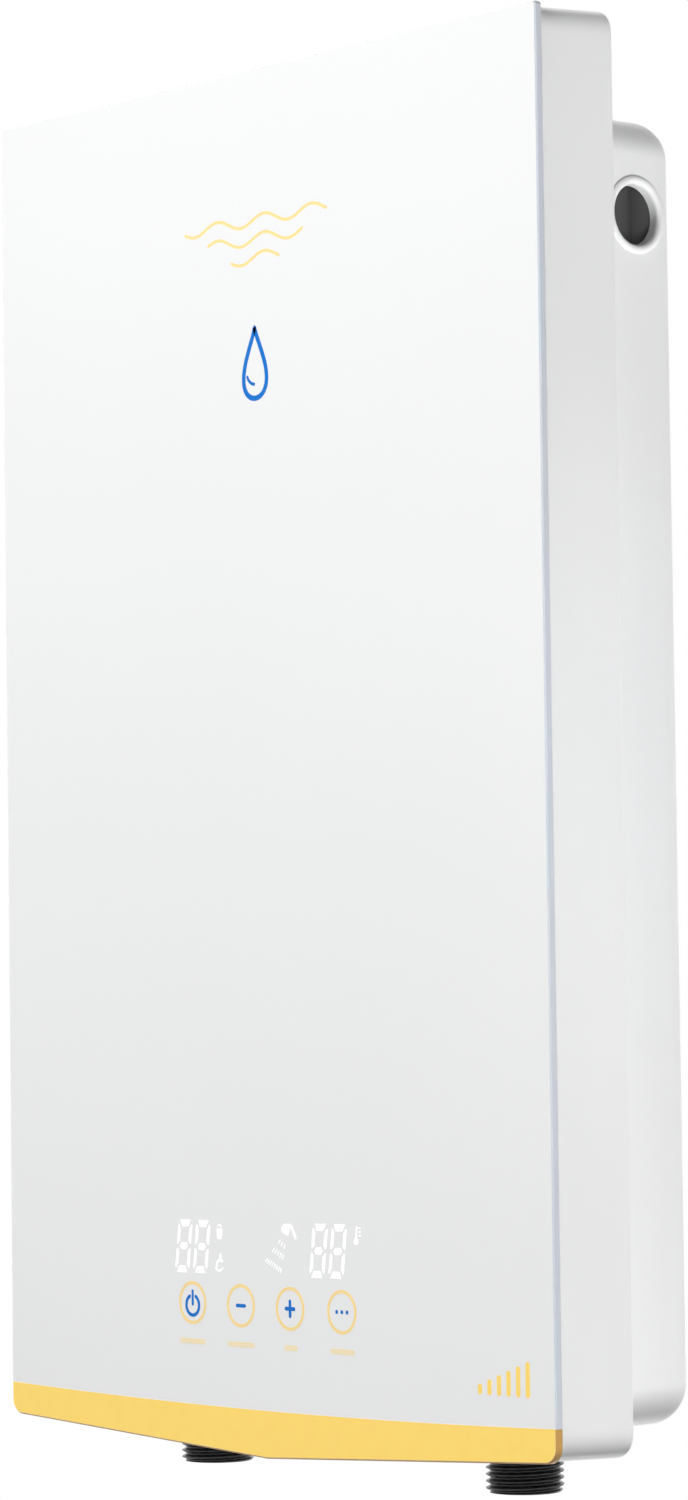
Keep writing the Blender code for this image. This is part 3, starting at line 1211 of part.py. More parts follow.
def build_tank():
    """Cast tank with three chambers in series, its gasket and its head with the earth stud."""
    y = -TANK_SETBACK
    shape = prism(bmesh.new(), tank_outline(CHAMBER_WEB), "Z", TANK_LOW, TANK_HIGH)
    tank = piece("heater_tank", shape, "cast_aluminium")
    added = bmesh.new()
    for x, ear_z in tank_ear_places():
        side = math.copysign(1, x)
        ends = sorted((side * (CHAMBER_PITCH + CHAMBER_RADIUS / 2), side * (tank_half_width() + EAR_REACH)))
        low = (ends[0], EAR_BACK - EAR_THICKNESS, ear_z - EAR_HEIGHT / 2)
        block(added, low, (ends[1], EAR_BACK, ear_z + EAR_HEIGHT / 2))
    for side in (-1, 1):
        x = side * CHAMBER_PITCH
        low = (x - PAD_HALF_WIDTH, PAD_FRONT, PAD_Z - PAD_HALF_HEIGHT)
        block(added, low, (x + PAD_HALF_WIDTH, y, PAD_Z + PAD_HALF_HEIGHT))
    for x, bolt_y in bolt_places():
        low = (x, bolt_y, TANK_HIGH - 2 * HEAD_BOLT_DEPTH)
        rod(added, HEAD_EAR_RADIUS, low, (x, bolt_y, TANK_HIGH), SMALL_SIDES)
    fuse(tank, added)
    ports = bmesh.new()
    for side, port_z in ((1, inlet_port_z()), (-1, outlet_port_z())):
        start = (side * CHAMBER_PITCH, -CONNECTOR_SETBACK, port_z)
        rod(ports, PORT_RADIUS, start, (side * port_end_x(), -CONNECTOR_SETBACK, port_z))
    fuse(tank, ports)

    chambers = bmesh.new()
    for x in chamber_places():
        rod(chambers, CHAMBER_BORE, (x, y, TANK_LOW + TANK_BOTTOM), (x, y, TANK_HIGH + OVERRUN), FINE_SIDES)
    cut(tank, chambers)
    ways = bmesh.new()
    high_way, low_way = TANK_HIGH - PASSAGE_INSET, TANK_LOW + PASSAGE_INSET
    rod(ways, PASSAGE_RADIUS, (0, y, high_way), (CHAMBER_PITCH, y, high_way), SMALL_SIDES)
    rod(ways, PASSAGE_RADIUS, (-CHAMBER_PITCH, y, low_way), (0, y, low_way), SMALL_SIDES)
    for side, port_z in ((1, inlet_port_z()), (-1, outlet_port_z())):
        end = (side * (port_end_x() + OVERRUN), -CONNECTOR_SETBACK, port_z)
        rod(ways, PIPE_RADIUS + GAP, (side * CHAMBER_PITCH, -CONNECTOR_SETBACK, port_z), end)
    cut(tank, ways)
    holes = bmesh.new()
    for x, bolt_y in bolt_places():
        low = (x, bolt_y, TANK_HIGH - HEAD_BOLT_DEPTH)
        rod(holes, HEAD_BOLT_RADIUS + HEAD_BOLT_CLEARANCE, low, (x, bolt_y, TANK_HIGH + OVERRUN), SMALL_SIDES)
    for x, ear_z in tank_ear_places():
        start = (x, EAR_BACK + OVERRUN, ear_z)
        rod(holes, EAR_HOLE, start, (x, EAR_BACK - EAR_THICKNESS - OVERRUN, ear_z), SMALL_SIDES)
    cut(tank, holes)

    gasket_low = TANK_HIGH + GAP
    gasket_high = gasket_low + TANK_GASKET_THICKNESS
    shape = prism(bmesh.new(), tank_outline(HEAD_WEB), "Z", gasket_low, gasket_high)
    gasket = piece("tank_gasket", shape, "grey_rubber")
    openings = bmesh.new()
    for x in chamber_places():
        rod(openings, CHAMBER_BORE, (x, y, gasket_low - OVERRUN), (x, y, gasket_high + OVERRUN), ROUND_SIDES)
    for x, bolt_y in bolt_places():
        low = (x, bolt_y, gasket_low - OVERRUN)
        high = (x, bolt_y, gasket_high + OVERRUN)
        rod(openings, HEAD_BOLT_RADIUS + HEAD_BOLT_CLEARANCE, low, high, SMALL_SIDES)
    cut(gasket, openings)

    shape = prism(bmesh.new(), tank_outline(HEAD_WEB), "Z", HEAD_LOW, HEAD_HIGH)
    head = piece("tank_head", shape, "cast_aluminium")
    holes = bmesh.new()
    for x in chamber_places():
        for side in (-1, 1):
            leg = x + side * ELEMENT_LEG_OFFSET
            radius = ELEMENT_RADIUS + ELEMENT_CLEARANCE
            rod(holes, radius, (leg, y, HEAD_LOW - OVERRUN), (leg, y, HEAD_HIGH + OVERRUN), ROUND_SIDES)
    for x, bolt_y in bolt_places():
        low = (x, bolt_y, HEAD_LOW - OVERRUN)
        rod(holes, HEAD_BOLT_RADIUS + HEAD_BOLT_CLEARANCE, low, (x, bolt_y, HEAD_HIGH + OVERRUN), SMALL_SIDES)
    x, probe_y = outlet_probe_place()
    low = (x, probe_y, HEAD_LOW - OVERRUN)
    rod(holes, PROBE_STEM_RADIUS + GAP, low, (x, probe_y, HEAD_HIGH + OVERRUN), SMALL_SIDES)
    cut(head, holes)
    stud = bmesh.new()
    x, stud_y = earth_stud_place()
    profile = [
        (EARTH_NUT_RADIUS, HEAD_HIGH - GAP), (EARTH_NUT_RADIUS, HEAD_HIGH + EARTH_NUT_HEIGHT),
        (EARTH_STUD_RADIUS, HEAD_HIGH + EARTH_NUT_HEIGHT), (EARTH_STUD_RADIUS, HEAD_HIGH + EARTH_STUD_HEIGHT),
    ]
    turned(stud, profile, (x, stud_y, 0), "Z", SMALL_SIDES)
    fuse(head, stud)

    for number, (x, bolt_y) in enumerate(bolt_places(), 1):
        shape = bmesh.new()
        seat = HEAD_HIGH + GAP
        low = TANK_HIGH - HEAD_BOLT_DEPTH + GAP
        profile = [
            (HEAD_BOLT_RADIUS, low), (HEAD_BOLT_RADIUS, seat),
            (HEAD_BOLT_HEAD, seat), (HEAD_BOLT_HEAD, seat + HEAD_BOLT_HEAD_HEIGHT),
        ]
        turned(shape, profile, (x, bolt_y, 0), "Z", 6)
        piece(f"head_bolt_{number}", shape, "stainless")


def outlet_probe_place():
    """In the head over the last chamber, in front of its heating element."""
    return -CHAMBER_PITCH, -TANK_SETBACK - (ELEMENT_RADIUS + PROBE_HEX_RADIUS)


def earth_stud_place():
    """On the head behind the right element, where the lead reaches it from above."""
    return CHAMBER_PITCH, -TANK_SETBACK + CHAMBER_RADIUS - HEAD_EAR_RADIUS


def rings_along(path, section):
    """The section's points set square to the path at each of its points."""
    rings = []
    start = (Vector(path[1]) - Vector(path[0])).normalized()
    side = Vector((0, 1, 0)) if abs(start.x) > abs(start.y) else Vector((1, 0, 0))
    for i, point in enumerate(path):
        before = path[max(i - 1, 0)]
        after = path[min(i + 1, len(path) - 1)]
        along = (Vector(after) - Vector(before)).normalized()
        side = (side - along * side.dot(along)).normalized()
        up = along.cross(side)
        rings.append([Vector(point) + side * u + up * v for u, v in section])
    return rings


def bend(corner, arrive, leave, radius, steps):
    """Quarter arc that rounds a corner between two perpendicular directions."""
    arrive, leave = Vector(arrive), Vector(leave)
    centre = Vector(corner) + (leave - arrive) * radius
    points = []
    for step in range(steps + 1):
        angle = math.pi / 2 * step / steps
        points.append(centre - leave * radius * math.cos(angle) + arrive * radius * math.sin(angle))
    return points


def build_elements():
    """Three hairpin elements whose ends stand up through the head, and the busbar across one end of each."""
    y = -TANK_SETBACK
    low = TANK_LOW + TANK_BOTTOM + ELEMENT_BOTTOM_GAP + ELEMENT_RADIUS
    for number, x in enumerate(chamber_places(), 1):
        right, left = x + ELEMENT_LEG_OFFSET, x - ELEMENT_LEG_OFFSET
        path = [(right, y, ELEMENT_TOP)]
        path += bend((right, y, low), (0, 0, -1), (-1, 0, 0), ELEMENT_LEG_OFFSET, ELEMENT_BEND_STEPS // 2)
        path += bend((left, y, low), (-1, 0, 0), (0, 0, 1), ELEMENT_LEG_OFFSET, ELEMENT_BEND_STEPS // 2)[1:]
        path.append((left, y, ELEMENT_TOP))
        rings = rings_along(path, circle_section(ELEMENT_RADIUS, SMALL_SIDES))
        pin = circle_section(TERMINAL_PIN_RADIUS, SMALL_SIDES)
        first = rings_along([path[0], (right, y, low)], pin)[0]
        last = rings_along(path, pin)[-1]
        rise = Vector((0, 0, TERMINAL_PIN_LENGTH))
        rings = [[p + rise for p in first], first] + rings + [last, [p + rise for p in last]]
        piece(f"heating_element_{number}", loft(bmesh.new(), rings), "stainless")

    pins = [x + ELEMENT_LEG_OFFSET for x in chamber_places()]
    bar_y = y - BUSBAR_BAR_OFFSET
    half_pad, half_bar = BUSBAR_PAD_WIDTH / 2, BUSBAR_BAR_WIDTH / 2
    comb = [(pins[0] - half_pad, bar_y - half_bar), (pins[-1] + half_pad, bar_y - half_bar)]
    for pin_x in reversed(pins):
        comb += [(pin_x + half_pad, bar_y + half_bar)] if pin_x != pins[-1] else []
        comb += [(pin_x + half_pad, y + half_pad), (pin_x - half_pad, y + half_pad)]
        comb += [(pin_x - half_pad, bar_y + half_bar)] if pin_x != pins[0] else []
    plate_low = ELEMENT_TOP + GAP
    plate = prism(bmesh.new(), comb, "Z", plate_low, plate_low + BUSBAR_THICKNESS)
    busbar = piece("element_busbar", plate, "copper")
    holes = bmesh.new()
    for pin_x in pins:
        high = (pin_x, y, plate_low + BUSBAR_THICKNESS + OVERRUN)
        rod(holes, TERMINAL_PIN_RADIUS + GAP, (pin_x, y, plate_low - OVERRUN), high, SMALL_SIDES)
    cut(busbar, holes)


def build_pipe(name, path):
    outer = rings_along(path, circle_section(PIPE_RADIUS, ROUND_SIDES))
    inner = rings_along(path, circle_section(PIPE_BORE, ROUND_SIDES))
    piece(name, loft(bmesh.new(), outer + inner[::-1], closed=True), "copper")


def build_pipes():
    y = -CONNECTOR_SETBACK
    tank_end = port_end_x() - PIPE_SEAT
    z = inlet_port_z()
    path = [(CONNECTOR_X, y, pipe_seat_z() + GAP)]
    path += bend((CONNECTOR_X, y, z), (0, 0, 1), (-1, 0, 0), PIPE_BEND, PIPE_BEND_STEPS)
    build_pipe("inlet_pipe", path + [(tank_end, y, z)])
    z = outlet_port_z()
    path = [(-tank_end, y, z)]
    path += bend((-CONNECTOR_X, y, z), (-1, 0, 0), (0, 0, -1), PIPE_BEND, PIPE_BEND_STEPS)
    build_pipe("outlet_pipe", path + [(-CONNECTOR_X, y, SPIGOT_TOP - PIPE_SEAT)])


def build_probe(name, seat, axis):
    """Screw-in temperature probe: stem in the water, hexagon on the seat, plug end outside."""
    hex_top = GAP + PROBE_HEX_HEIGHT
    profile = [
        (PROBE_STEM_RADIUS, GAP - PROBE_STEM_LENGTH), (PROBE_STEM_RADIUS, GAP),
        (PROBE_HEX_RADIUS, GAP), (PROBE_HEX_RADIUS, hex_top),
        (PROBE_TAIL_RADIUS, hex_top), (PROBE_TAIL_RADIUS, hex_top + PROBE_TAIL_LENGTH),
    ]
    shape = bmesh.new()
    turned(shape, profile, seat, axis, ROUND_SIDES)
    piece(name, shape, "brass")


def build_probes():
    boss_end = CONNECTOR_X + PIPE_RADIUS + GAP + SENSOR_SOCKET_WALL + PROBE_BOSS_REACH
    build_probe("inlet_sensor", (boss_end, -CONNECTOR_SETBACK, probe_boss_z()), "X")
    x, y = outlet_probe_place()
    build_probe("outlet_sensor", (x, y, HEAD_HIGH), "Z")


def build_cutout():
    """Thermal cut-out on the hottest chamber, its bracket, and the button that resets it."""
    x, z = -CHAMBER_PITCH, PAD_Z
    flange_back = PAD_FRONT - GAP
    flange_front = flange_back - CUTOUT_FLANGE_THICKNESS
    body_front = flange_front - CUTOUT_HEIGHT
    nose_front = body_front - CUTOUT_NOSE_HEIGHT
    shape = bmesh.new()
    profile = [
        (CUTOUT_FLANGE_RADIUS, flange_back), (CUTOUT_FLANGE_RADIUS, flange_front),
        (CUTOUT_RADIUS, flange_front), (CUTOUT_RADIUS, body_front),
        (CUTOUT_NOSE_RADIUS, body_front), (CUTOUT_NOSE_RADIUS, nose_front + CUTOUT_NOSE_CHAMFER),
        (CUTOUT_NOSE_RADIUS - CUTOUT_NOSE_CHAMFER, nose_front),
    ]
    turned(shape, profile, (x, 0, z), "Y", FINE_SIDES)
    cutout = piece("thermal_cutout", shape, "relay_black")
    blades = bmesh.new()
    for side in (-1, 1):
        middle = x + side * BLADE_TERMINAL_X
        half_thick, half_wide = BLADE_TERMINAL_THICKNESS / 2, BLADE_TERMINAL_WIDTH / 2
        low = (middle - half_thick, body_front - BLADE_TERMINAL_REACH, z - half_wide)
        block(blades, low, (middle + half_thick, body_front + GAP, z + half_wide))
    fuse(cutout, blades)
    button_back = nose_front - RESET_STAND + RESET_LENGTH
    bore = bmesh.new()
    bore_end = (x, button_back + RESET_TRAVEL + GAP, z)
    rod(bore, RESET_RADIUS + RESET_CLEARANCE, (x, nose_front - OVERRUN, z), bore_end)
    cut(cutout, bore)

    shape = bmesh.new()
    front = nose_front - RESET_STAND
    dome = RESET_RADIUS / 3
    profile = [(RESET_RADIUS, button_back), (RESET_RADIUS, front + dome), (RESET_RADIUS - dome, front)]
    turned(shape, profile, (x, 0, z), "Y", ROUND_SIDES)
    piece("reset_button", shape, "button_red", origin=(x, nose_front, z))

    plate_back = flange_front - GAP
    plate_front = plate_back - BRACKET_THICKNESS
    half_width, half_length = BRACKET_WIDTH / 2, PAD_HALF_HEIGHT
    shape = bmesh.new()
    low = (x - half_width, plate_front, z - half_length)
    block(shape, low, (x + half_width, plate_back, z + half_length))
    bracket = piece("cutout_bracket", shape, "stainless")
    feet = bmesh.new()
    for side in (-1, 1):
        ends = sorted((side * half_length, side * (half_length - BRACKET_FOOT)))
        low = (x - half_width, plate_back - GAP, z + ends[0])
        block(feet, low, (x + half_width, PAD_FRONT - GAP, z + ends[1]))
    fuse(bracket, feet)
    hole = bmesh.new()
    rod(hole, CUTOUT_RADIUS + GAP, (x, plate_front - OVERRUN, z), (x, plate_back + GAP, z), FINE_SIDES)
    cut(bracket, hole)


def triac_leg_end():
    """Tip of the triac's middle leg."""
    y = PAD_FRONT - 2 * GAP - TRIAC_PLATE_THICKNESS - TRIAC_THICKNESS / 2
    return CHAMBER_PITCH, y, PAD_Z + TRIAC_HEIGHT / 2 + TRIAC_LEG_LENGTH


def build_triac():
    x, y, leg_top = triac_leg_end()
    plate_back = PAD_FRONT - GAP
    plate_front = plate_back - TRIAC_PLATE_THICKNESS
    half_width, half_height = TRIAC_PLATE_WIDTH / 2, TRIAC_PLATE_HEIGHT / 2
    shape = bmesh.new()
    high = (x + half_width, plate_back, PAD_Z + half_height)
    block(shape, (x - half_width, plate_front, PAD_Z - half_height), high, TRIAC_PLATE_THICKNESS / 6)
    piece("triac_plate", shape, "cast_aluminium")
    body_back = plate_front - GAP
    half_width, half_height = TRIAC_WIDTH / 2, TRIAC_HEIGHT / 2
    shape = bmesh.new()
    low = (x - half_width, body_back - TRIAC_THICKNESS, PAD_Z - half_height)
    block(shape, low, (x + half_width, body_back, PAD_Z + half_height), TRIAC_THICKNESS / 8)
    triac = piece("triac", shape, "relay_black")
    legs = bmesh.new()
    half_leg = TRIAC_LEG_WIDTH / 2
    for place in (-1, 0, 1):
        leg_x = x + place * TRIAC_LEG_PITCH
        low = (leg_x - half_leg, y - half_leg, PAD_Z + half_height - GAP)
        block(legs, low, (leg_x + half_leg, y + half_leg, leg_top))
    fuse(triac, legs)


def relay_centre_x(number):
    return POWER_BOARD_LEFT + RELAY_INSET + RELAY_WIDTH / 2 + RELAY_SPACING * (number - 1)


def relay_low():
    return POWER_BOARD_LOW + RELAY_RISE


def relay_front():
    return BOARD_FRONT - GAP - RELAY_DEPTH


def coil_centre_y():
    return BOARD_FRONT - GAP - COIL_FOOT - COIL_RADIUS


def board_header_z():
    return relay_low() + HEADER_HEIGHT / 2


def build_power_board():
    shape = bmesh.new()
    low = (POWER_BOARD_LEFT, BOARD_FRONT, POWER_BOARD_LOW)
    block(shape, low, (POWER_BOARD_RIGHT, BOARD_BACK, POWER_BOARD_HIGH))
    board = piece("power_board", shape, "circuit_board")
    holes = bmesh.new()
    for x, z in board_post_places():
        rod(holes, BOARD_HOLE, (x, BOARD_FRONT - OVERRUN, z), (x, BOARD_BACK + OVERRUN, z), SMALL_SIDES)
    cut(board, holes)
    chips = bmesh.new()
    header_z = board_header_z()
    low = (-HEADER_WIDTH / 2, BOARD_FRONT - HEADER_DEPTH, header_z - HEADER_HEIGHT / 2)
    block(chips, low, (HEADER_WIDTH / 2, BOARD_FRONT + GAP, header_z + HEADER_HEIGHT / 2))
    middle = (POWER_BOARD_LOW + POWER_BOARD_HIGH) / 2
    for column in (0, 1):
        x = column * 2 * CHIP_SIZE
        low = (x, BOARD_FRONT - CHIP_HEIGHT, middle - CHIP_SIZE)
        block(chips, low, (x + CHIP_SIZE, BOARD_FRONT + GAP, middle))
    fuse(board, chips)

    back = BOARD_FRONT - GAP
    for number in (1, 2):
        x = relay_centre_x(number)
        shape = bmesh.new()
        low = (x - RELAY_WIDTH / 2, relay_front(), relay_low())
        block(shape, low, (x + RELAY_WIDTH / 2, back, relay_low() + RELAY_HEIGHT), RELAY_CHAMFER)
        piece(f"relay_{number}", shape, "relay_black")

    x, z = relay_centre_x(1), POWER_BOARD_LOW + TRANSFORMER_RISE
    shape = bmesh.new()
    core = (TRANSFORMER_WIDTH / 2, (TRANSFORMER_HEIGHT - TRANSFORMER_CORE) / 2)
    front = back - TRANSFORMER_DEPTH
    low = (x - core[0], front, z + core[1])
    high = (x + core[0], back, z + core[1] + TRANSFORMER_CORE)
    block(shape, low, high, RELAY_CHAMFER)
    transformer = piece("transformer", shape, "transformer_iron")
    winding = bmesh.new()
    spool = TRANSFORMER_CORE / 2
    low = (x - core[0] + spool, front + spool / 2, z)
    block(winding, low, (x + core[0] - spool, back - spool / 2, z + TRANSFORMER_HEIGHT), RELAY_CHAMFER)
    fuse(transformer, winding)

    x = relay_centre_x(2)
    shape = bmesh.new()
    low = (x - CAPACITOR_WIDTH / 2, back - CAPACITOR_DEPTH, z)
    high = (x + CAPACITOR_WIDTH / 2, back, z + CAPACITOR_HEIGHT)
    block(shape, low, high, RELAY_CHAMFER)
    piece("capacitor", shape, "capacitor_yellow")

    y = coil_centre_y()
    shape = bmesh.new()
    chamfer = COIL_FOOT / 3
    ends = (COIL_X - COIL_WIDTH / 2, COIL_X + COIL_WIDTH / 2)
    profile = [
        (COIL_BORE, ends[0]), (COIL_RADIUS - chamfer, ends[0]), (COIL_RADIUS, ends[0] + chamfer),
        (COIL_RADIUS, ends[1] - chamfer), (COIL_RADIUS - chamfer, ends[1]), (COIL_BORE, ends[1]),
    ]
    turned(shape, profile, (0, y, ENTRY_Z), "X", FINE_SIDES, hollow=True)
    coil = piece("leakage_coil", shape, "relay_black")
    foot = bmesh.new()
    low = (ends[0], y + (COIL_BORE + COIL_RADIUS) / 2, ENTRY_Z - COIL_BORE)
    block(foot, low, (ends[1], back, ENTRY_Z + COIL_BORE))
    fuse(coil, foot)


def display_centre_z():
    return PANEL_LOW + (CARRIER_LOW + CARRIER_HIGH) / 2


def build_display():
    """Tray bonded behind the glass with the display board, light box, touch springs and buzzer."""
    half = CARRIER_WIDTH / 2
    low_z, high_z = PANEL_LOW + CARRIER_LOW, PANEL_LOW + CARRIER_HIGH
    shape = bmesh.new()
    block(shape, (-half, FRAME_FRONT, low_z), (half, CARRIER_BACK, high_z))
    carrier = piece("display_carrier", shape, "black_nylon")
    ears = bmesh.new()
    for side in (-1, 1):
        x = side * CARRIER_POST_X
        half_ear = CARRIER_EAR_WIDTH / 2
        ear_low = carrier_post_z() - CARRIER_POST_RADIUS + GAP
        low = (x - half_ear, CARRIER_BACK - CARRIER_EAR_THICKNESS, ear_low)
        block(ears, low, (x + half_ear, CARRIER_BACK, low_z + CARRIER_WALL / 2))
    fuse(carrier, ears)
    hollow = bmesh.new()
    low = (-half + CARRIER_WALL, FRAME_FRONT - OVERRUN, low_z + CARRIER_WALL)
    high = (half - CARRIER_WALL, CARRIER_BACK - CARRIER_FLANGE, high_z - CARRIER_WALL)
    block(hollow, low, high)
    cut(carrier, hollow)
    window = bmesh.new()
    low = (-half + CARRIER_BORDER, CARRIER_BACK - CARRIER_FLANGE - OVERRUN, low_z + CARRIER_BORDER)
    high = (half - CARRIER_BORDER, CARRIER_BACK + OVERRUN, high_z - CARRIER_BORDER)
    block(window, low, high)
    cut(carrier, window)

    inset = CARRIER_WALL + GAP
    shape = bmesh.new()
    low = (-half + inset, DISPLAY_BOARD_FRONT, low_z + inset)
    block(shape, low, (half - inset, DISPLAY_BOARD_BACK, high_z - inset))
    board = piece("display_board", shape, "circuit_board")
    header = bmesh.new()
    z = display_centre_z()
    low = (-HEADER_WIDTH / 2, DISPLAY_BOARD_BACK - GAP, z - HEADER_HEIGHT / 2)
    block(header, low, (HEADER_WIDTH / 2, DISPLAY_BOARD_BACK + HEADER_DEPTH, z + HEADER_HEIGHT / 2))
    fuse(board, header)

    front, back = GLASS_BACK + GAP, DISPLAY_BOARD_FRONT - GAP
    box_low = PANEL_LOW + LIGHT_BOX_LOW
    shape = bmesh.new()
    block(shape, (-LIGHT_BOX_HALF, front, box_low), (LIGHT_BOX_HALF, back, box_low + LIGHT_BOX_HEIGHT))
    box = piece("light_box", shape, "white_abs")
    cells = bmesh.new()
    middle = box_low + LIGHT_BOX_HEIGHT / 2
    for x, width in (
        (-DIGIT_CELL_X, DIGIT_CELL_WIDTH), (ICON_CELL_X, ICON_CELL_WIDTH), (DIGIT_CELL_X, DIGIT_CELL_WIDTH),
    ):
        low = (x - width / 2, front - OVERRUN, middle - LIGHT_CELL_HEIGHT / 2)
        block(cells, low, (x + width / 2, back + OVERRUN, middle + LIGHT_CELL_HEIGHT / 2))
    cut(box, cells)

    z = PANEL_LOW + KEY_RISE
    for number in range(1, KEY_COUNT + 1):
        x = KEY_OFFSET + KEY_PITCH * (number - (KEY_COUNT + 1) / 2)
        length = back - front - 2 * SPRING_WIRE
        path = []
        count = SPRING_TURNS * SPRING_TURN_POINTS
        for step in range(count + 1):
            share = step / count
            angle = 2 * math.pi * SPRING_TURNS * share
            radius = SPRING_RADIUS * (1 - SPRING_TAPER_SHARE * share)
            y = front + SPRING_WIRE + length * share
            path.append((x + radius * math.cos(angle), y, z + radius * math.sin(angle)))
        tube(f"touch_spring_{number}", path, SPRING_WIRE, "stainless", SPRING_RESOLUTION)

    shape = bmesh.new()
    z = display_centre_z()
    back = DISPLAY_BOARD_BACK + GAP
    chamfer = BUZZER_RADIUS / 8
    profile = [
        (BUZZER_RADIUS, back), (BUZZER_RADIUS, back + BUZZER_HEIGHT - chamfer),
        (BUZZER_RADIUS - chamfer, back + BUZZER_HEIGHT),
    ]
    turned(shape, profile, (BUZZER_X, 0, z), "Y", ROUND_SIDES)
    piece("buzzer", shape, "relay_black")


def build_wiring():
    """Leads between the terminals, relays and elements, and the ribbon between the two boards."""
    left_face = TERMINAL_X - TERMINAL_WIDTH / 2 - GAP
    pitch = TERMINAL_HEIGHT / 3
    pole_y = -(TERMINAL_BASE + TERMINAL_DEPTH / 2)
    coil_y = coil_centre_y()
    lift = COIL_BORE / 3
    coil_left, coil_right = COIL_X - COIL_WIDTH, COIL_X + COIL_WIDTH
    relay_face = relay_front() - GAP
    relay_middle = relay_low() + RELAY_HEIGHT / 2
    before_parts = BOARD_FRONT - GAP - TRANSFORMER_DEPTH - LEAD_APPROACH
    back, left, down = (0, 1, 0), (-1, 0, 0), (0, 0, -1)

    x = relay_centre_x(1)
    between = [
        (coil_right, (pole_y + coil_y) / 2, ENTRY_Z + 2 * lift), (COIL_X, coil_y, ENTRY_Z + lift),
        (coil_left, coil_y - lift, ENTRY_Z + lift), (relay_centre_x(2), before_parts, ENTRY_Z - pitch),
        (x + RELAY_WIDTH / 4, before_parts, relay_middle + RELAY_HEIGHT),
    ]
    start = (left_face, pole_y, ENTRY_Z + pitch)
    lead("live_lead", start, left, between, (x, relay_face, relay_middle), back, "lead_brown")

    x = relay_centre_x(2)
    between = [
        (coil_right, (pole_y + coil_y) / 2, ENTRY_Z - 2 * lift), (COIL_X, coil_y, ENTRY_Z - lift),
        (coil_left, coil_y - lift, ENTRY_Z - 2 * lift),
        (x + RELAY_WIDTH, before_parts, relay_middle + 2 * RELAY_HEIGHT),
        (x + RELAY_WIDTH / 4, before_parts, relay_middle + RELAY_HEIGHT / 2),
    ]
    start = (left_face, pole_y, ENTRY_Z - pitch)
    lead("neutral_lead", start, left, between, (x, relay_face, relay_middle), back, "lead_blue")

    stud_x, stud_y = earth_stud_place()
    stud_top = HEAD_HIGH + EARTH_STUD_HEIGHT + GAP
    between = [
        (TERMINAL_X, pole_y, POWER_BOARD_LOW + TRANSFORMER_RISE),
        (POWER_BOARD_RIGHT + 2 * LEAD_APPROACH, (pole_y + stud_y) / 2, POWER_BOARD_LOW + LEAD_APPROACH),
        (stud_x + LEAD_APPROACH, stud_y, stud_top + 2 * LEAD_APPROACH),
    ]
    start = (TERMINAL_X, pole_y, ENTRY_Z - TERMINAL_HEIGHT / 2 - GAP)
    lead("earth_lead", start, down, between, (stud_x, stud_y, stud_top), down, "lead_green")

    y = -TANK_SETBACK
    over_pins = PIN_TOP + GAP + LEAD_APPROACH
    pairs = ((1, "heater_live_lead", "lead_brown"), (2, "heater_neutral_lead", "lead_blue"))
    for number, name, colour in pairs:
        x = relay_centre_x(number)
        pin_x = chamber_places()[number - 1] - ELEMENT_LEG_OFFSET
        between = [((x + pin_x) / 2, y, over_pins)]
        lead(name, (x, y, relay_low() - GAP), down, between, (pin_x, y, PIN_TOP + GAP), down, colour)

    leg_x, leg_y, leg_top = triac_leg_end()
    pin_x = CHAMBER_PITCH - ELEMENT_LEG_OFFSET
    between = [
        ((leg_x + pin_x) / 2, (leg_y + PAD_FRONT) / 2, HEAD_HIGH),
        (pin_x, PAD_FRONT + LEAD_APPROACH, over_pins), (pin_x, y - LEAD_APPROACH, over_pins + LEAD_APPROACH),
    ]
    start = (leg_x, leg_y, leg_top + GAP)
    lead("triac_lead", start, (0, 0, 1), between, (pin_x, y, PIN_TOP + GAP), down, "lead_white")

    ribbon_y = DISPLAY_BOARD_BACK + HEADER_DEPTH / 2
    header_z = board_header_z()
    start_z = display_centre_z() + HEADER_HEIGHT / 2 + GAP
    seat_y = BOARD_FRONT - HEADER_DEPTH - GAP
    route = [
        (0, ribbon_y, start_z), (0, ribbon_y, start_z + LEAD_APPROACH), (0, ribbon_y, HEAD_HIGH),
        (0, coil_y - 2 * LEAD_APPROACH, over_pins), (0, seat_y - 2 * LEAD_APPROACH, header_z),
        (0, seat_y - LEAD_APPROACH, header_z), (0, seat_y, header_z),
    ]
    half_width, half_thick = RIBBON_WIDTH / 2, RIBBON_THICKNESS / 2
    section = [
        (-half_width, -half_thick), (half_width, -half_thick),
        (half_width, half_thick), (-half_width, half_thick),
    ]
    rings = rings_along(smooth_path(route, LEAD_POINTS_PER_SPAN), section)
    piece("ribbon_cable", loft(bmesh.new(), rings), "lead_white")


def build_cover_screws():
    y = cover_screw_y()
    for number, side in ((1, -1), (2, 1)):
        x = side * LUG_X
        seat = frame_floor_z(x) - GAP
        low = seat - SCREW_HEAD_HEIGHT
        tip = CASING_LOW + TONGUE_OFFSET + SCREW_GRIP
        chamfer = SCREW_HEAD_HEIGHT / 4
        profile = [
            (SCREW_HEAD_RADIUS - chamfer, low), (SCREW_HEAD_RADIUS, low + chamfer), (SCREW_HEAD_RADIUS, seat),
            (SCREW_RADIUS, seat), (SCREW_RADIUS, tip - SCREW_RADIUS), (SCREW_RADIUS / 2, tip),
        ]
        shape = bmesh.new()
        turned(shape, profile, (x, y, 0), "Z", ROUND_SIDES)
        piece(f"cover_screw_{number}", shape, "stainless")


def main():
    clear_scene()
    build_glass()
    build_frame()
    build_casing()
    build_casing_seal()
    build_cable_entry()
    build_terminal_block()
    build_connector("inlet_connector", 1)
    build_connector("outlet_connector", -1)
    build_filter()
    build_flow_sensor()
    build_tank()
    build_elements()
    build_pipes()
    build_probes()
    build_cutout()
    build_triac()
    build_power_board()
    build_display()
    build_wiring()
    build_cover_screws()


main()
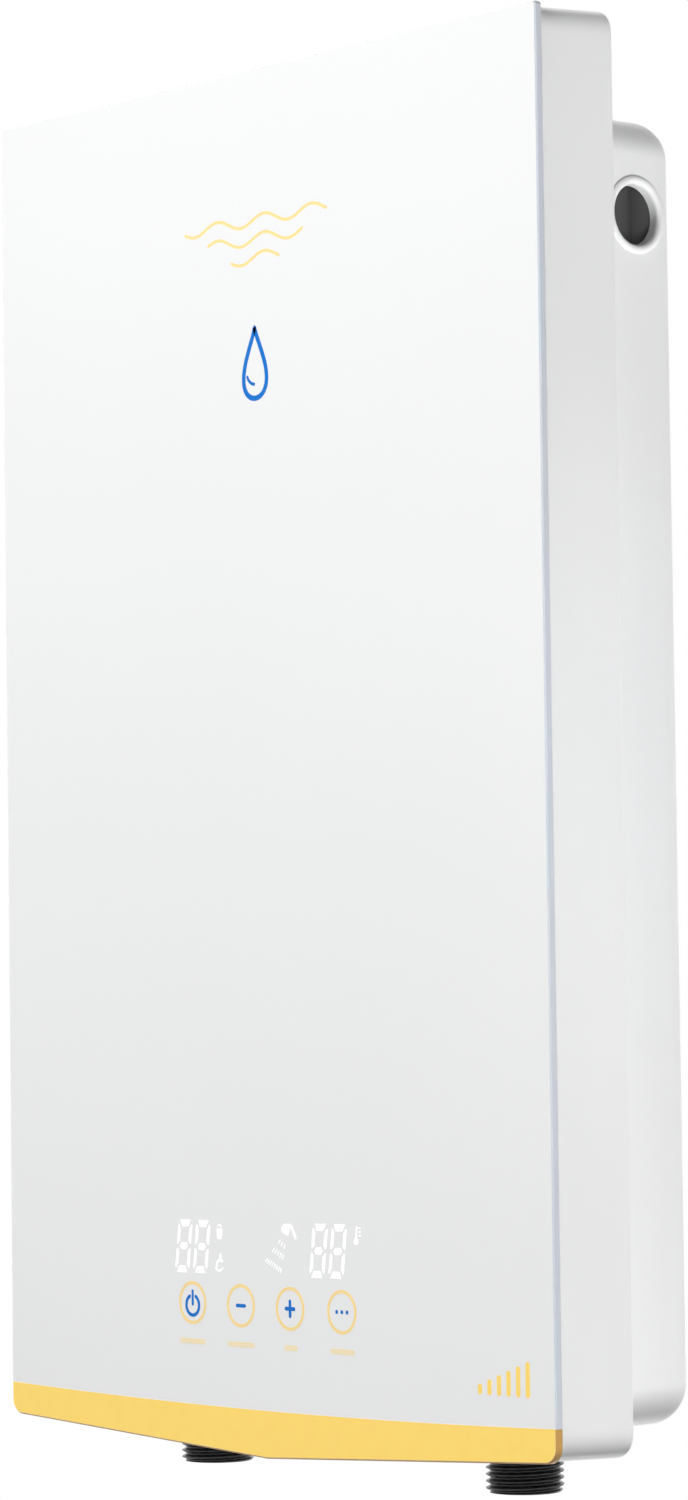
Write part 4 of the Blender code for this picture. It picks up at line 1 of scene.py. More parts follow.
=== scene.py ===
import math

import bmesh
import bpy
import numpy as np
from mathutils import Matrix, Vector


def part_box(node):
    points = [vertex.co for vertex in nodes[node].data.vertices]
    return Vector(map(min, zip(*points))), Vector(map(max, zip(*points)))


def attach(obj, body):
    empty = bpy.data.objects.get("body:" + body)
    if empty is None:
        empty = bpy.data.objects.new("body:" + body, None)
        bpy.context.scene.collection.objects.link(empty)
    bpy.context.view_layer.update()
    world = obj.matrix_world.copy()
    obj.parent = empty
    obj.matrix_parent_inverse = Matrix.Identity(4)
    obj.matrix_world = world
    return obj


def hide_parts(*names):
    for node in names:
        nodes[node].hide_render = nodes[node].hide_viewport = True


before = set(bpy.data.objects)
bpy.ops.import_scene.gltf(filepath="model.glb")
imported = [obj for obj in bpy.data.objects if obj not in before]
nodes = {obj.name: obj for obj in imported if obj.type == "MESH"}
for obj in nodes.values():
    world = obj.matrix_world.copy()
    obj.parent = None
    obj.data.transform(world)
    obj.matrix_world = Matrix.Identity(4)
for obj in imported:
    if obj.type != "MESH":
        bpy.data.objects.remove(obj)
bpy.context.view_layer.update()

MM = 0.001


# Camera
# A long lens at the heater's right, a little below its middle and tilted up three degrees, so
# that the side of the casing shows beside the glass and the connectors peep out below.
yaw, pitch, roll = math.radians(48.69), math.radians(3.001), math.radians(-0.737)
forward = Vector((-math.sin(yaw) * math.cos(pitch), math.cos(yaw) * math.cos(pitch), math.sin(pitch)))
level_right = Vector((math.cos(yaw), math.sin(yaw), 0))
level_up = level_right.cross(forward)
right = math.cos(roll) * level_right + math.sin(roll) * level_up
up = math.cos(roll) * level_up - math.sin(roll) * level_right
camera_data = bpy.data.cameras.new("camera")
camera_data.lens, camera_data.sensor_width = 111.9, 36.0
camera = bpy.data.objects.new("camera", camera_data)
bpy.context.scene.collection.objects.link(camera)
facing = Matrix((right, up, -forward)).transposed().to_4x4()
camera.matrix_world = Matrix.Translation((0.9753, -0.8908, -0.0592)) @ facing
bpy.context.scene.camera = camera
bpy.context.scene.view_settings.view_transform = "Standard"


# Light and floor
# A lamp in front, above the glass, two soft boxes with grids at each side, and three lamps behind.
# The low box of a side lights the upper half and the high box the lower half, so that corners
# turned up or down get little of either, and the lamps behind reach only their outermost part.
class Wire:
    """A value on its way through a node tree; sums on it add Math nodes."""

    def __init__(self, graph, socket):
        self.graph, self.socket = graph, socket

    def maths(self, operation, *terms):
        return self.graph.node("ShaderNodeMath", {"operation": operation}, dict(enumerate(terms)))

    def __add__(self, other):
        return self.maths("ADD", self, other)

    def __radd__(self, other):
        return self.maths("ADD", other, self)

    def __sub__(self, other):
        return self.maths("SUBTRACT", self, other)

    def __rsub__(self, other):
        return self.maths("SUBTRACT", other, self)

    def __mul__(self, other):
        return self.maths("MULTIPLY", self, other)

    def __rmul__(self, other):
        return self.maths("MULTIPLY", other, self)

    def __gt__(self, other):
        return self.maths("GREATER_THAN", self, other)

    def __lt__(self, other):
        return self.maths("LESS_THAN", self, other)

    def __abs__(self):
        return self.maths("ABSOLUTE", self)

    def exp(self):
        return self.maths("EXPONENT", self)


class Graph:
    """A node tree. node() adds one node of any type: its settings first, then its inputs."""

    def __init__(self, tree):
        self.tree = tree

    def node(self, kind, settings=None, inputs=None, output=0):
        made = self.tree.nodes.new(kind)
        for name, value in (settings or {}).items():
            if name == "stops":
                elements = made.color_ramp.elements
                while len(elements) < len(value):
                    elements.new(0.5)
                for element, (place, colour) in zip(elements, value):
                    element.position, element.color = place, (*colour, 1.0)
            else:
                setattr(made, name, value)
        for key, value in (inputs or {}).items():
            if isinstance(value, Wire):
                self.tree.links.new(value.socket, made.inputs[key])
            else:
                made.inputs[key].default_value = value
        return Wire(self, made.outputs[output]) if made.outputs else None

    def seen(self):
        """1 for camera, glossy and transmission rays, which show the background, and 0 for light."""
        camera_ray, glossy_ray, through_ray = [self.node("ShaderNodeLightPath", output=i) for i in (0, 3, 6)]
        return glossy_ray.maths("MAXIMUM", glossy_ray, camera_ray.maths("MAXIMUM", camera_ray, through_ray))


def lamp(name, place, target, size, watts, spread=180):
    """A square soft lamp at a place, turned to its target; spread is its beam in degrees."""
    data = bpy.data.lights.new(name, "AREA")
    data.shape, data.size, data.energy, data.spread = "SQUARE", size, watts, math.radians(spread)
    made = bpy.data.objects.new(name, data)
    bpy.context.scene.collection.objects.link(made)
    made.location = place
    made.rotation_euler = (Vector(target) - Vector(place)).to_track_quat("-Z", "Y").to_euler()
    made.visible_glossy = made.visible_camera = False


BOX_X, BOX_Y, BOX_Z, BOX_SIZE, BOX_SPREAD = 0.56, -0.07, 0.28, 0.16, 47
AIM_X, AIM_Y, AIM_Z = 0.11, -0.03, 0.255
lamp("front_lamp", (0.0, -1.10, 0.50), (0.0, -0.06, 0.05), 0.6, 12.2)
for side_name, side, share in (("right", 1, 1.0), ("left", -1, 0.5)):
    for height_name, rise, watts in (("_low_box", -1, 0.325), ("_high_box", 1, 0.36)):
        box, aim = (BOX_X * side, BOX_Y, BOX_Z * rise), (AIM_X * side, AIM_Y, -AIM_Z * rise)
        lamp(side_name + height_name, box, aim, BOX_SIZE, watts * share, BOX_SPREAD)
lamp("high_lamp", (-0.30, 0.20, 0.90), (0.0, 0.0, 0.17), 0.3, 6.8)
lamp("low_lamp", (-0.15, 0.20, -0.56), (0.0, 0.0, -0.17), 0.3, 2.4)
lamp("back_lamp", (0.0, 1.40, 0.0), (0.0, 0.0, 0.0), 0.6, 4.0)

world = bpy.data.worlds.new("studio")
world.use_nodes = True
world.node_tree.nodes.clear()
room = Graph(world.node_tree)
height = room.node("ShaderNodeSeparateXYZ", inputs={0: room.node("ShaderNodeTexCoord")}, output=2)
backdrop = room.seen()
level = backdrop + (1.0 - backdrop) * (0.04 + 0.28 * (height * height * -11.0).exp())
sky = room.node("ShaderNodeBackground", inputs={0: (1.0, 1.0, 1.0, 1.0), 1: level})
room.node("ShaderNodeOutputWorld", inputs={0: sky})
bpy.context.scene.world = world

FLOOR_RADIUS, FLOOR_LEVEL, FLOOR_SIDES = 1.5, -0.62, 96
floor_mesh = bpy.data.meshes.new("floor")
floor_turn = np.linspace(0, 2 * math.pi, FLOOR_SIDES + 1)[:-1]
rim = [(FLOOR_RADIUS * math.cos(a), FLOOR_RADIUS * math.sin(a), FLOOR_LEVEL) for a in floor_turn]
floor_mesh.from_pydata(rim, [], [tuple(range(FLOOR_SIDES))])
floor = bpy.data.objects.new("floor", floor_mesh)
bpy.context.scene.collection.objects.link(floor)
floor_paint = bpy.data.materials.new("pale_floor")
floor_paint.use_nodes = True
floor_paint.node_tree.nodes.clear()
ground = Graph(floor_paint.node_tree)
matt = ground.node("ShaderNodeBsdfDiffuse", inputs={0: (0.40, 0.40, 0.40, 1.0)})
pale = ground.node("ShaderNodeEmission", inputs={0: (1.0, 1.0, 1.0, 1.0), 1: 1.0})
floor_look = ground.node("ShaderNodeMixShader", inputs={0: ground.seen() * 0.92, 1: matt, 2: pale})
from_below = ground.node("ShaderNodeNewGeometry", output=6)
floor_look = ground.node("ShaderNodeMixShader", inputs={
    0: from_below, 1: floor_look, 2: ground.node("ShaderNodeBsdfTransparent")})
ground.node("ShaderNodeOutputMaterial", inputs={0: floor_look})
floor_mesh.materials.append(floor_paint)


# Front glass
# A pane of 2.5 mm float glass with ground edges and rounded corners, its lower edge falling to a
# shallow point. It is printed white on the back, which shows through as a plain glossy face.
class Finish(Graph):
    """A Principled material; what changes over the surface is set from wires, the rest as numbers."""

    def __init__(self, name, **constants):
        self.material = bpy.data.materials.new(name)
        self.material.use_nodes = True
        super().__init__(self.material.node_tree)
        self.shader = self.tree.nodes["Principled BSDF"]
        for key, value in constants.items():
            self.set(key.replace("_", " "), value)
        self.place = self.node("ShaderNodeTexCoord", output=3)

    def set(self, key, value):
        if isinstance(value, Wire):
            self.tree.links.new(value.socket, self.shader.inputs[key])
        else:
            self.shader.inputs[key].default_value = value

    def along(self, axis):
        return self.node("ShaderNodeSeparateXYZ", inputs={0: self.place}, output="XYZ".index(axis))

    def grain(self, size, detail=2.0, stretch=(1, 1, 1)):
        """Noise with features of about that size in metres, drawn out along an axis by stretch."""
        narrowed = tuple(1 / s for s in stretch)
        scaled = self.node("ShaderNodeMapping", inputs={"Vector": self.place, "Scale": narrowed})
        settings = {"Vector": scaled, "Scale": 1 / size, "Detail": detail}
        return self.node("ShaderNodeTexNoise", inputs=settings)

    def blend(self, share, first, second):
        """First colour where share is 0, second where it is 1."""
        parts = {0: share, 6: first, 7: second}
        return self.node("ShaderNodeMix", {"data_type": "RGBA"}, parts, output=2)

    def relief(self, height, depth):
        """Bump from a wire of heights from 0 to 1, with that depth in metres."""
        bump = self.node("ShaderNodeBump", inputs={"Strength": 1.0, "Distance": depth, "Height": height})
        self.set("Normal", bump)


def shade(colour, factor=1.0):
    return tuple(min(1.0, part * factor) for part in colour) + (1.0,)


def corner_outline(half, low, high, corner, power=2.0, point=0.0, top_corner=None, steps=20):
    """Rounded rectangle, counter-clockwise from its right side, as x and z.

    Each corner is a superellipse: at polar angle a its radius is (cos^p a + sin^p a)^(-1/p) times
    the corner size. The lower edge falls by point towards the middle, in proportion to 1 - |x|/half.
    """
    a = np.linspace(0, np.pi / 2, steps + 1)
    reach = (np.cos(a) ** power + np.sin(a) ** power) ** (-1 / power)
    across, upward = reach * np.cos(a), reach * np.sin(a)
    upper = top_corner or corner
    top_x, top_z = half - upper + upper * across, high - upper + upper * upward
    low_x, low_z = half - corner + corner * across, low + corner - corner * upward
    low_z -= point * (1 - low_x / half)
    rows = [
        np.column_stack([top_x, top_z]), np.column_stack([-top_x, top_z])[::-1],
        np.column_stack([-low_x, low_z]), [(0.0, low - point)],
        np.column_stack([low_x, low_z])[::-1],
    ]
    return np.vstack(rows)


def at_depth(points, y):
    """An outline of x and z set at a depth y."""
    points = np.asarray(points, float)
    return np.column_stack([points[:, 0], np.full(len(points), y), points[:, 1]])


def skin(rings, closed=False):
    """Quads between rings of equally many points; an open run of rings is capped at both ends."""
    rows = np.array(rings)
    count, size = rows.shape[:2]
    index = np.arange(count * size).reshape(count, size)
    if closed:
        index = np.vstack([index, index[:1]])
    here, there = index[:-1], index[1:]
    quads = np.stack([here, np.roll(here, -1, 1), np.roll(there, -1, 1), there], -1).reshape(-1, 4)
    faces = quads.tolist()
    if not closed:
        faces += [index[0].tolist(), index[-1][::-1].tolist()]
    return rows.reshape(-1, 3), faces


def new_piece(name, parts, finishes, smooth=None):
    """One object from closed parts of points and faces, its faces turned outwards."""
    points, faces, start = [], [], 0
    for part_points, part_faces in parts:
        points.append(part_points)
        faces += [[i + start for i in face] for face in part_faces]
        start += len(part_points)
    mesh = bpy.data.meshes.new(name)
    mesh.from_pydata(np.vstack(points).tolist(), [], faces)
    turned_out = bmesh.new()
    turned_out.from_mesh(mesh)
    bmesh.ops.recalc_face_normals(turned_out, faces=turned_out.faces)
    turned_out.to_mesh(mesh)
    turned_out.free()
    for finish in finishes:
        mesh.materials.append(finish.material)
    made = bpy.data.objects.new(name, mesh)
    bpy.context.scene.collection.objects.link(made)
    if smooth is not None:
        soften(made, smooth)
    return made


def soften(made, angle):
    """Smooth shading up to an angle in degrees, with flat faces kept flat by their larger area."""
    made.data.shade_smooth()
    made.data.set_sharp_from_angle(angle=math.radians(angle))
    weighted = made.modifiers.new("even_shading", "WEIGHTED_NORMAL")
    weighted.keep_sharp = True
    weighted.weight = 100


glass_low, glass_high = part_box("front_glass")
PANE_HALF, PANE_TOP, PANE_POINT, PANE_CORNER = glass_high.x, glass_high.z, 6.0 * MM, 4.0 * MM
PANE_FOOT = glass_low.z + PANE_POINT
PRINT_FRONT = glass_low.y
PANE_FRONT, PANE_BACK, PANE_CHAMFER = PRINT_FRONT + 0.04 * MM, glass_high.y, 0.4 * MM
BAND_RISE, BAND_CURVE = 7.0 * MM, 1.9 * MM

glass_face = Finish("white_backed_glass", IOR=1.5)
haze = glass_face.grain(0.09, 1.0)
white_tones = (0.862, 0.866, 0.872, 1.0), (0.882, 0.886, 0.890, 1.0)
glass_face.set("Base Color", glass_face.blend(haze, *white_tones))
glass_face.set("Roughness", 0.05 + 0.05 * glass_face.grain(0.012, 3.0))

glass_edge = Finish("ground_glass_edge", IOR=1.5)
beside_band = glass_edge.along("Z") < PANE_FOOT + BAND_RISE + BAND_CURVE
streaks = glass_edge.grain(0.0005, 2.0, (1, 1, 14))
middle = abs((glass_edge.along("Y") - (PANE_FRONT + PANE_BACK) / 2) * (1 / (1.25 * MM)))
depth_share = middle * 0.55 + streaks * 0.3
on_top = glass_edge.along("Z") > PANE_TOP - PANE_CHAMFER
clear = glass_edge.blend(depth_share, (0.585, 0.615, 0.675, 1.0), (0.475, 0.515, 0.58, 1.0))
clear = glass_edge.blend(on_top, clear, (0.87, 0.875, 0.88, 1.0))
amber = glass_edge.blend(depth_share, (0.58, 0.32, 0.075, 1.0), (0.42, 0.22, 0.045, 1.0))
glass_edge.set("Base Color", glass_edge.blend(beside_band, clear, amber))
glass_edge.set("Roughness", 0.16 + 0.12 * streaks)
glass_edge.relief(streaks, 0.01 * MM)


def pane_outline(inset):
    return corner_outline(
        PANE_HALF - inset, PANE_FOOT + inset, PANE_TOP - inset, PANE_CORNER - inset, point=PANE_POINT,
        top_corner=1.2 * MM - inset)


pane_rings = [
    at_depth(pane_outline(PANE_CHAMFER), PANE_FRONT),
    at_depth(pane_outline(0), PANE_FRONT + PANE_CHAMFER),
    at_depth(pane_outline(0), PANE_BACK - PANE_CHAMFER),
    at_depth(pane_outline(PANE_CHAMFER), PANE_BACK),
]
pane = new_piece("glass_panel", [skin(pane_rings)], [glass_edge, glass_face], 24)
for face in pane.data.polygons:
    face.material_index = 1 if abs(face.normal.y) > 0.98 else 0
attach(pane, "heater")
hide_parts("front_glass")


# Printing on the glass
# Screen-printed inks, a few hundredths of a millimetre thick: the yellow foot, the rings and
# dashes of the touch keys, the blue signs on them, a drop and a run of waves above.
def plate(points, front=PRINT_FRONT, back=PANE_FRONT + 0.01 * MM):
    """A thin closed plate with the outline given as x and z."""
    return skin([at_depth(points, front), at_depth(points, back)])


def stroke(path, width, closed=False, front=PRINT_FRONT, back=PANE_FRONT + 0.01 * MM):
    """A flat line of ink along a path of x and z.

    It is widened to both sides by h. Along the path h is half the width; past an open end it
    falls as h = half * sqrt(1 - (s / half)^2), so that the ends are round.
    """
    middle_line, half = np.asarray(path, float), width / 2
    if closed:
        step = np.roll(middle_line, -1, 0) - np.roll(middle_line, 1, 0)
        reach = np.full(len(middle_line), half)
    else:
        s = np.sin(np.linspace(np.pi / 2, 0, 7)[:-1]) * half * 0.998
        first = middle_line[0] - middle_line[1]
        last = middle_line[-1] - middle_line[-2]
        head = middle_line[0] + np.outer(s, first / np.linalg.norm(first))
        tail = middle_line[-1] + np.outer(s[::-1], last / np.linalg.norm(last))
        cap = np.sqrt(half**2 - s**2)
        reach = np.concatenate([cap, np.full(len(middle_line), half), cap[::-1]])
        middle_line = np.vstack([head, middle_line, tail])
        step = np.gradient(middle_line, axis=0)
    step /= np.linalg.norm(step, axis=1)[:, None]
    side = np.column_stack([-step[:, 1], step[:, 0]]) * reach[:, None]
    left, right_side = middle_line + side, middle_line - side
    corners = ((left, front), (right_side, front), (right_side, back), (left, back))
    return skin(np.stack([at_depth(line, y) for line, y in corners], 1), closed)


def arc(centre, radius, start, end, steps=40, tall=1.0):
    """Points of an arc from start to end, in degrees from the right, anticlockwise."""
    a = np.radians(np.linspace(start, end, steps))
    return np.column_stack([centre[0] + radius * np.cos(a), centre[1] + radius * tall * np.sin(a)])


def ring_line(centre, radius, steps=64):
    return arc(centre, radius, 0, 360, steps + 1)[:-1]


def on_pane(x, rise):
    """A place on the glass from millimetres right of the middle and above the lower corners."""
    return np.array([x * MM, PANE_FOOT + rise * MM])


def ink(name, colour, roughness=0.22, ior=1.5, painted_glow=0.0):
    """Printed ink: a nearly even colour with faint cloudiness where the screen laid it thinner, and an
    optional painted glow that brightens it, though ink gives no light.
    """
    made = Finish(name, IOR=ior, Emission_Strength=painted_glow)
    cloud = made.grain(0.004, 3.0)
    pigment = made.blend(cloud, shade(colour, 0.965), shade(colour, 1.035))
    made.set("Base Color", pigment)
    made.set("Emission Color", pigment)
    made.set("Roughness", roughness - 0.06 + 0.12 * made.grain(0.0006))
    return made


# The yellow inks carry a painted glow: weak emission that makes them brighter, as if more strongly lit.
yellow_ink = ink("yellow_ink", (1.0, 0.69, 0.155), ior=1.35, painted_glow=0.10)
soft_yellow_ink = ink("soft_yellow_ink", (1.0, 0.735, 0.30), painted_glow=0.02)
pale_yellow_ink = ink("pale_yellow_ink", (0.95, 0.81, 0.52))
blue_ink = ink("blue_ink", (0.004, 0.175, 0.62), ior=1.25)

PRINT_MARGIN, BAND_HALF = 0.05 * MM, 113 * MM
edge = pane_outline(PANE_CHAMFER + PRINT_MARGIN)
band_reach = PANE_HALF - PANE_CHAMFER - PRINT_MARGIN
band_x = np.linspace(band_reach, -band_reach, 81)
band_top = PANE_FOOT + BAND_RISE + BAND_CURVE * (band_x / BAND_HALF) ** 2
foot_edge = edge[edge[:, 1] < band_top[0] - PRINT_MARGIN]
band_outline = np.vstack([foot_edge, np.column_stack([band_x, band_top])])
band = new_piece("yellow_foot_print", [plate(band_outline)], [yellow_ink])

KEY_X, KEY_RISE, KEY_RING, RING_WIDTH = (-31.0, -10.2, 10.5, 31.8), 35.1, 5.5 * MM, 0.95 * MM
ring_lines = [ring_line(on_pane(x, KEY_RISE), KEY_RING) for x in KEY_X]
key_rings = new_piece(
    "key_rings", [stroke(line, RING_WIDTH, closed=True) for line in ring_lines], [soft_yellow_ink])

off, less, more, further = (on_pane(x, KEY_RISE) for x in KEY_X)
sign_parts = [
    stroke(arc(off - (0, 0.7 * MM), 2.75 * MM, 118, 422, 48), 1.0 * MM),
    stroke([off - (0, 0.4 * MM), off + (0, 3.2 * MM)], 0.9 * MM),
    stroke([less - (1.65 * MM, 0), less + (1.65 * MM, 0)], 1.0 * MM),
    stroke([more - (1.65 * MM, 0), more + (1.65 * MM, 0)], 1.1 * MM),
    stroke([more - (0, 1.95 * MM), more + (0, 1.95 * MM)], 1.1 * MM, front=PRINT_FRONT + 0.005 * MM),
]
sign_parts += [plate(ring_line(further + (x * MM, 0), 0.55 * MM, 20)) for x in (-2.1, 0, 2.1)]
key_signs = new_piece("key_signs", sign_parts, [blue_ink])

DASHES, DASH_RISE = ((-35.9, -26.4), (-15.2, -5.3), (8.7, 12.8), (27.8, 36.2)), 24.5
dash_parts = [stroke([on_pane(a, DASH_RISE), on_pane(b, DASH_RISE)], 1.5 * MM) for a, b in DASHES]
key_dashes = new_piece("key_dashes", dash_parts, [pale_yellow_ink])

BAR_X, BAR_STEP, BAR_FOOT, BAR_TOP, BAR_GROWTH = 85.7, 3.6, 17.0, 18.2, 1.3
bar_parts = []
for i in range(6):
    x = BAR_X + BAR_STEP * i
    bar_parts.append(stroke([on_pane(x, BAR_FOOT), on_pane(x, BAR_TOP + BAR_GROWTH * i)], 1.6 * MM))
level_bars = new_piece("level_bars", bar_parts, [yellow_ink])

WAVES, WAVE_RISE, WAVE_STEP, WAVE_SWING, WAVE_LENGTH = (
    ((-29.0, 31.0), (-19.0, 21.0), (-9.0, 11.0)), 333.6, 5.2, 1.5, 20.0)
wave_parts = []
for line, (start, end) in enumerate(WAVES):
    wave_x = np.linspace(start, end, 120)
    wave_rise = WAVE_RISE - WAVE_STEP * line + WAVE_SWING * np.sin(wave_x * 2 * np.pi / WAVE_LENGTH)
    wave_parts.append(stroke(np.column_stack([wave_x * MM, PANE_FOOT + wave_rise * MM]), 0.9 * MM))
waves = new_piece("wave_print", wave_parts, [soft_yellow_ink])


def drop_outline(centre, size, steps=72):
    """Drop: x = 0.72 size sin a (sin a/2)^1.6 and z = size cos a, with a running round from 0 at the tip."""
    a = np.linspace(0, 2 * np.pi, steps + 1)[:-1]
    return centre + np.column_stack([0.72 * size * np.sin(a) * np.sin(a / 2) ** 1.6, size * np.cos(a)])


drop_centre = on_pane(0.5, 294.1)
glint = stroke(arc(drop_centre - (0, 2.4 * MM), 3.5 * MM, 200, 262, 20), 0.9 * MM, front=PRINT_FRONT)
drop_line = stroke(drop_outline(drop_centre, 9.8 * MM), 1.5 * MM, closed=True)
drop = new_piece("drop_print", [drop_line, glint], [blue_ink])
for piece in (band, key_rings, key_signs, key_dashes, level_bars, waves, drop):
    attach(piece, "heater")


# Lit signs of the display
# White light from the display behind the glass: two pairs of plain seven-bar figures, a lamp, a
# tap, a shower head with its drops, and a thermometer. They show only while they are lit.
lit = Finish("lit_white", IOR=1.5, Emission_Strength=0.22, Roughness=0.3)
dots = lit.grain(0.0012, 1.0)
lit.set("Base Color", lit.blend(dots, (0.90, 0.91, 0.92, 1.0), (0.95, 0.95, 0.95, 1.0)))
lit.set("Emission Color", lit.blend(dots, (0.97, 0.98, 1.0, 1.0), (1.0, 1.0, 1.0, 1.0)))
FIGURE_HALF, FIGURE_HEIGHT, FIGURE_SLANT, BAR_WIDTH = 2.5, 14.6, 0.125, 1.3
FIGURES = ((-34.6, 50.65), (-26.8, 50.7), (22.6, 51.1), (30.4, 51.2))


def figure(x, rise):
    """The seven bars of a figure with its middle at x and rise in millimetres, leaning to the right.

    The level bars are trapezoids with their long side outwards and a hexagon between them, and the
    upright bars have ends cut to match, so that a fine gap is left at every joint.
    """
    h, w, b = FIGURE_HEIGHT / 2, FIGURE_HALF, BAR_WIDTH / 2
    top = np.array([(-w + 0.25, h), (w - 0.25, h), (w - 1.15, h - 1.9), (-w + 1.15, h - 1.9)])
    middle = np.array([
        (-w + 0.8, 0), (-w + 1.4, 0.95), (w - 1.4, 0.95), (w - 0.8, 0), (w - 1.4, -0.95), (-w + 1.4, -0.95)])
    upright = np.array([
        (w + b, h - 1.7), (w + b - 0.35, h - 1.15), (w + 0.1, h - 1.25), (w - b, h - 2.6), (w - b, 1.5),
        (w, 0.6), (w + b - 0.1, 0.6)])
    bars = [top, top * (1, -1), middle] + [upright * (a, c) for a in (-1, 1) for c in (-1, 1)]
    placed = [np.column_stack([bar[:, 0] + bar[:, 1] * FIGURE_SLANT + x, bar[:, 1] + rise]) for bar in bars]
    return [plate(part * MM + (0, PANE_FOOT)) for part in placed]


figures = [part for x, rise in FIGURES for part in figure(x, rise)]
lamp_x, lamp_rise = -19.05, 53.0
lamp_body = ((-0.75, 0), (0.75, 0), (1.05, 0.5), (1.2, 2.9), (-1.2, 2.9), (-1.05, 0.5))
lamp_sign = [plate(np.array([on_pane(lamp_x + a, lamp_rise + b) for a, b in lamp_body]))]
lamp_sign.append(stroke(arc(on_pane(lamp_x, lamp_rise + 2.9), 1.0 * MM, 40, 140, 12), 0.45 * MM))
TOP_LAYER = PRINT_FRONT + 0.004 * MM
spout = [on_pane(x, rise) for x, rise in ((-20.3, 45.6), (-20.1, 46.7), (-19.4, 47.2), (-18.0, 47.0))]
tap_sign = [
    stroke(spout, 0.85 * MM),
    stroke([on_pane(-18.75, 47.4), on_pane(-18.7, 48.7)], 0.8 * MM, front=TOP_LAYER),
    stroke(arc(on_pane(-19.3, 45.9), 1.7 * MM, 215, 325, 14, 0.9), 0.6 * MM),
]
head = on_pane(9.5, 56.2)
shower_sign = [plate(head + MM * np.array([
    (-2.3, 0.3), (-2.0, 1.2), (-1.1, 1.75), (0.2, 1.85), (1.5, 1.8), (1.5, 0.9), (1.35, 0.3), (0.95, -0.75),
    (0.5, -1.5), (-0.6, -1.1), (-1.6, -0.6), (-2.2, -0.2)]))]
handle = head + MM * np.array([(1.3, 1.35), (2.0, 1.0), (2.9, -0.5), (3.6, -1.9)])
shower_sign.append(stroke(handle, 0.85 * MM, front=TOP_LAYER))
DROP_HALF, DROP_WIDTH = 0.55, 0.42 * MM
for count, first, last in (
        (3, (6.3, 53.0), (8.5, 51.9)), (5, (3.9, 50.8), (7.7, 49.0)), (8, (0.9, 47.9), (6.8, 45.3))):
    for share in np.linspace(0, 1, count):
        foot = np.array([a + (b - a) * share for a, b in zip(first, last)])
        away = foot - head / MM + (0, PANE_FOOT / MM)
        away /= np.linalg.norm(away)
        ends = np.array([foot - away * DROP_HALF, foot + away * DROP_HALF]) * MM + (0, PANE_FOOT)
        shower_sign.append(stroke(ends, DROP_WIDTH))
bulb = on_pane(37.9, 54.1)
heat_sign = [plate(ring_line(bulb, 0.95 * MM, 24))]
heat_sign.append(stroke([bulb + (0, 0.5 * MM), bulb + (0.35 * MM, 3.8 * MM)], 0.7 * MM, front=TOP_LAYER))
for z in (1.6, 2.6, 3.6):
    heat_sign.append(stroke([bulb + (1.2 * MM, z * MM), bulb + (1.8 * MM, z * MM)], 0.4 * MM))
display_light = new_piece("lit_figures", figures, [lit])
small_light = new_piece("lit_signs", lamp_sign + tap_sign + shower_sign + heat_sign, [lit])
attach(display_light, "heater")
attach(small_light, "heater")


# Front frame
# White plastic moulding behind the glass's edge, 2.6 mm thick, with an inner ledge that hangs on
# the casing's hooks, ribs, and two bosses through which the cover screws come up from below.
def moulded(name, colour, roughness=0.36, grain_size=0.0006, grain_depth=0.012 * MM):
    """Injection-moulded plastic: slow flow marks in the tone, and the mould's fine texture as relief."""
    made = Finish(name, IOR=1.5)
    flow = made.grain(0.035, 2.0, (1, 1, 2.5))
    made.set("Base Color", made.blend(flow, shade(colour, 0.975), shade(colour, 1.02)))
    texture = made.grain(grain_size, 3.0)
    made.set("Roughness", roughness - 0.06 + 0.12 * texture)
    made.relief(texture, grain_depth)
    return made


def rod(radius, start, end, sides=32):
    """A closed round bar between two points that lie along one axis, as rings round it."""
    start, end = np.array(start, float), np.array(end, float)
    axis = int(np.argmax(np.abs(end - start)))
    a = np.linspace(0, 2 * np.pi, sides + 1)[:-1]
    circle = np.zeros((sides, 3))
    circle[:, (axis + 1) % 3], circle[:, (axis + 2) % 3] = np.cos(a) * radius, np.sin(a) * radius
    return skin([circle + start, circle + end])


def brick(low, high):
    """A closed block between two corners."""
    (x0, y0, z0), (x1, y1, z1) = low, high
    square = np.array([(x0, z0), (x1, z0), (x1, z1), (x0, z1)])
    return skin([at_depth(square, y0), at_depth(square, y1)])


def carve(made, parts, operation="DIFFERENCE"):
    """Cuts closed parts out of a piece, or joins them to it, and keeps the result as its mesh."""
    tool = new_piece("tool", parts, [])
    change = made.modifiers.new("carve", "BOOLEAN")
    change.operation, change.solver, change.object = operation, "EXACT", tool
    result = bpy.data.meshes.new_from_object(made.evaluated_get(bpy.context.evaluated_depsgraph_get()))
    made.modifiers.clear()
    old, made.data = made.data, result
    bpy.data.objects.remove(tool)
    bpy.data.meshes.remove(old)


frame_low, frame_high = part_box("front_frame")
FRAME_DRAFT_TOP, FRAME_DRAFT_LOW = 1.8 * MM, 0.8 * MM
FRAME_HALF, FRAME_TOP = frame_high.x, frame_high.z - FRAME_DRAFT_TOP
FRAME_FOOT = frame_low.z + FRAME_DRAFT_LOW + PANE_POINT
FRAME_FRONT, FRAME_BACK = frame_low.y - 0.25 * MM, frame_high.y
FRAME_WALL, FRAME_LEDGE, FRAME_ROUND = 2.6 * MM, 2.5 * MM, 1.0 * MM
CASING_HALF, CASING_TOP, CASING_DEPTH = 102.0 * MM, 174.2 * MM, 36.3 * MM
CONNECTOR_X, CONNECTOR_Y = 64.0 * MM, -28.9 * MM
SCREW_X, SCREW_Y = 30.0 * MM, -46.3 * MM
white_plastic = moulded("satin_white_plastic", (0.795, 0.797, 0.800))


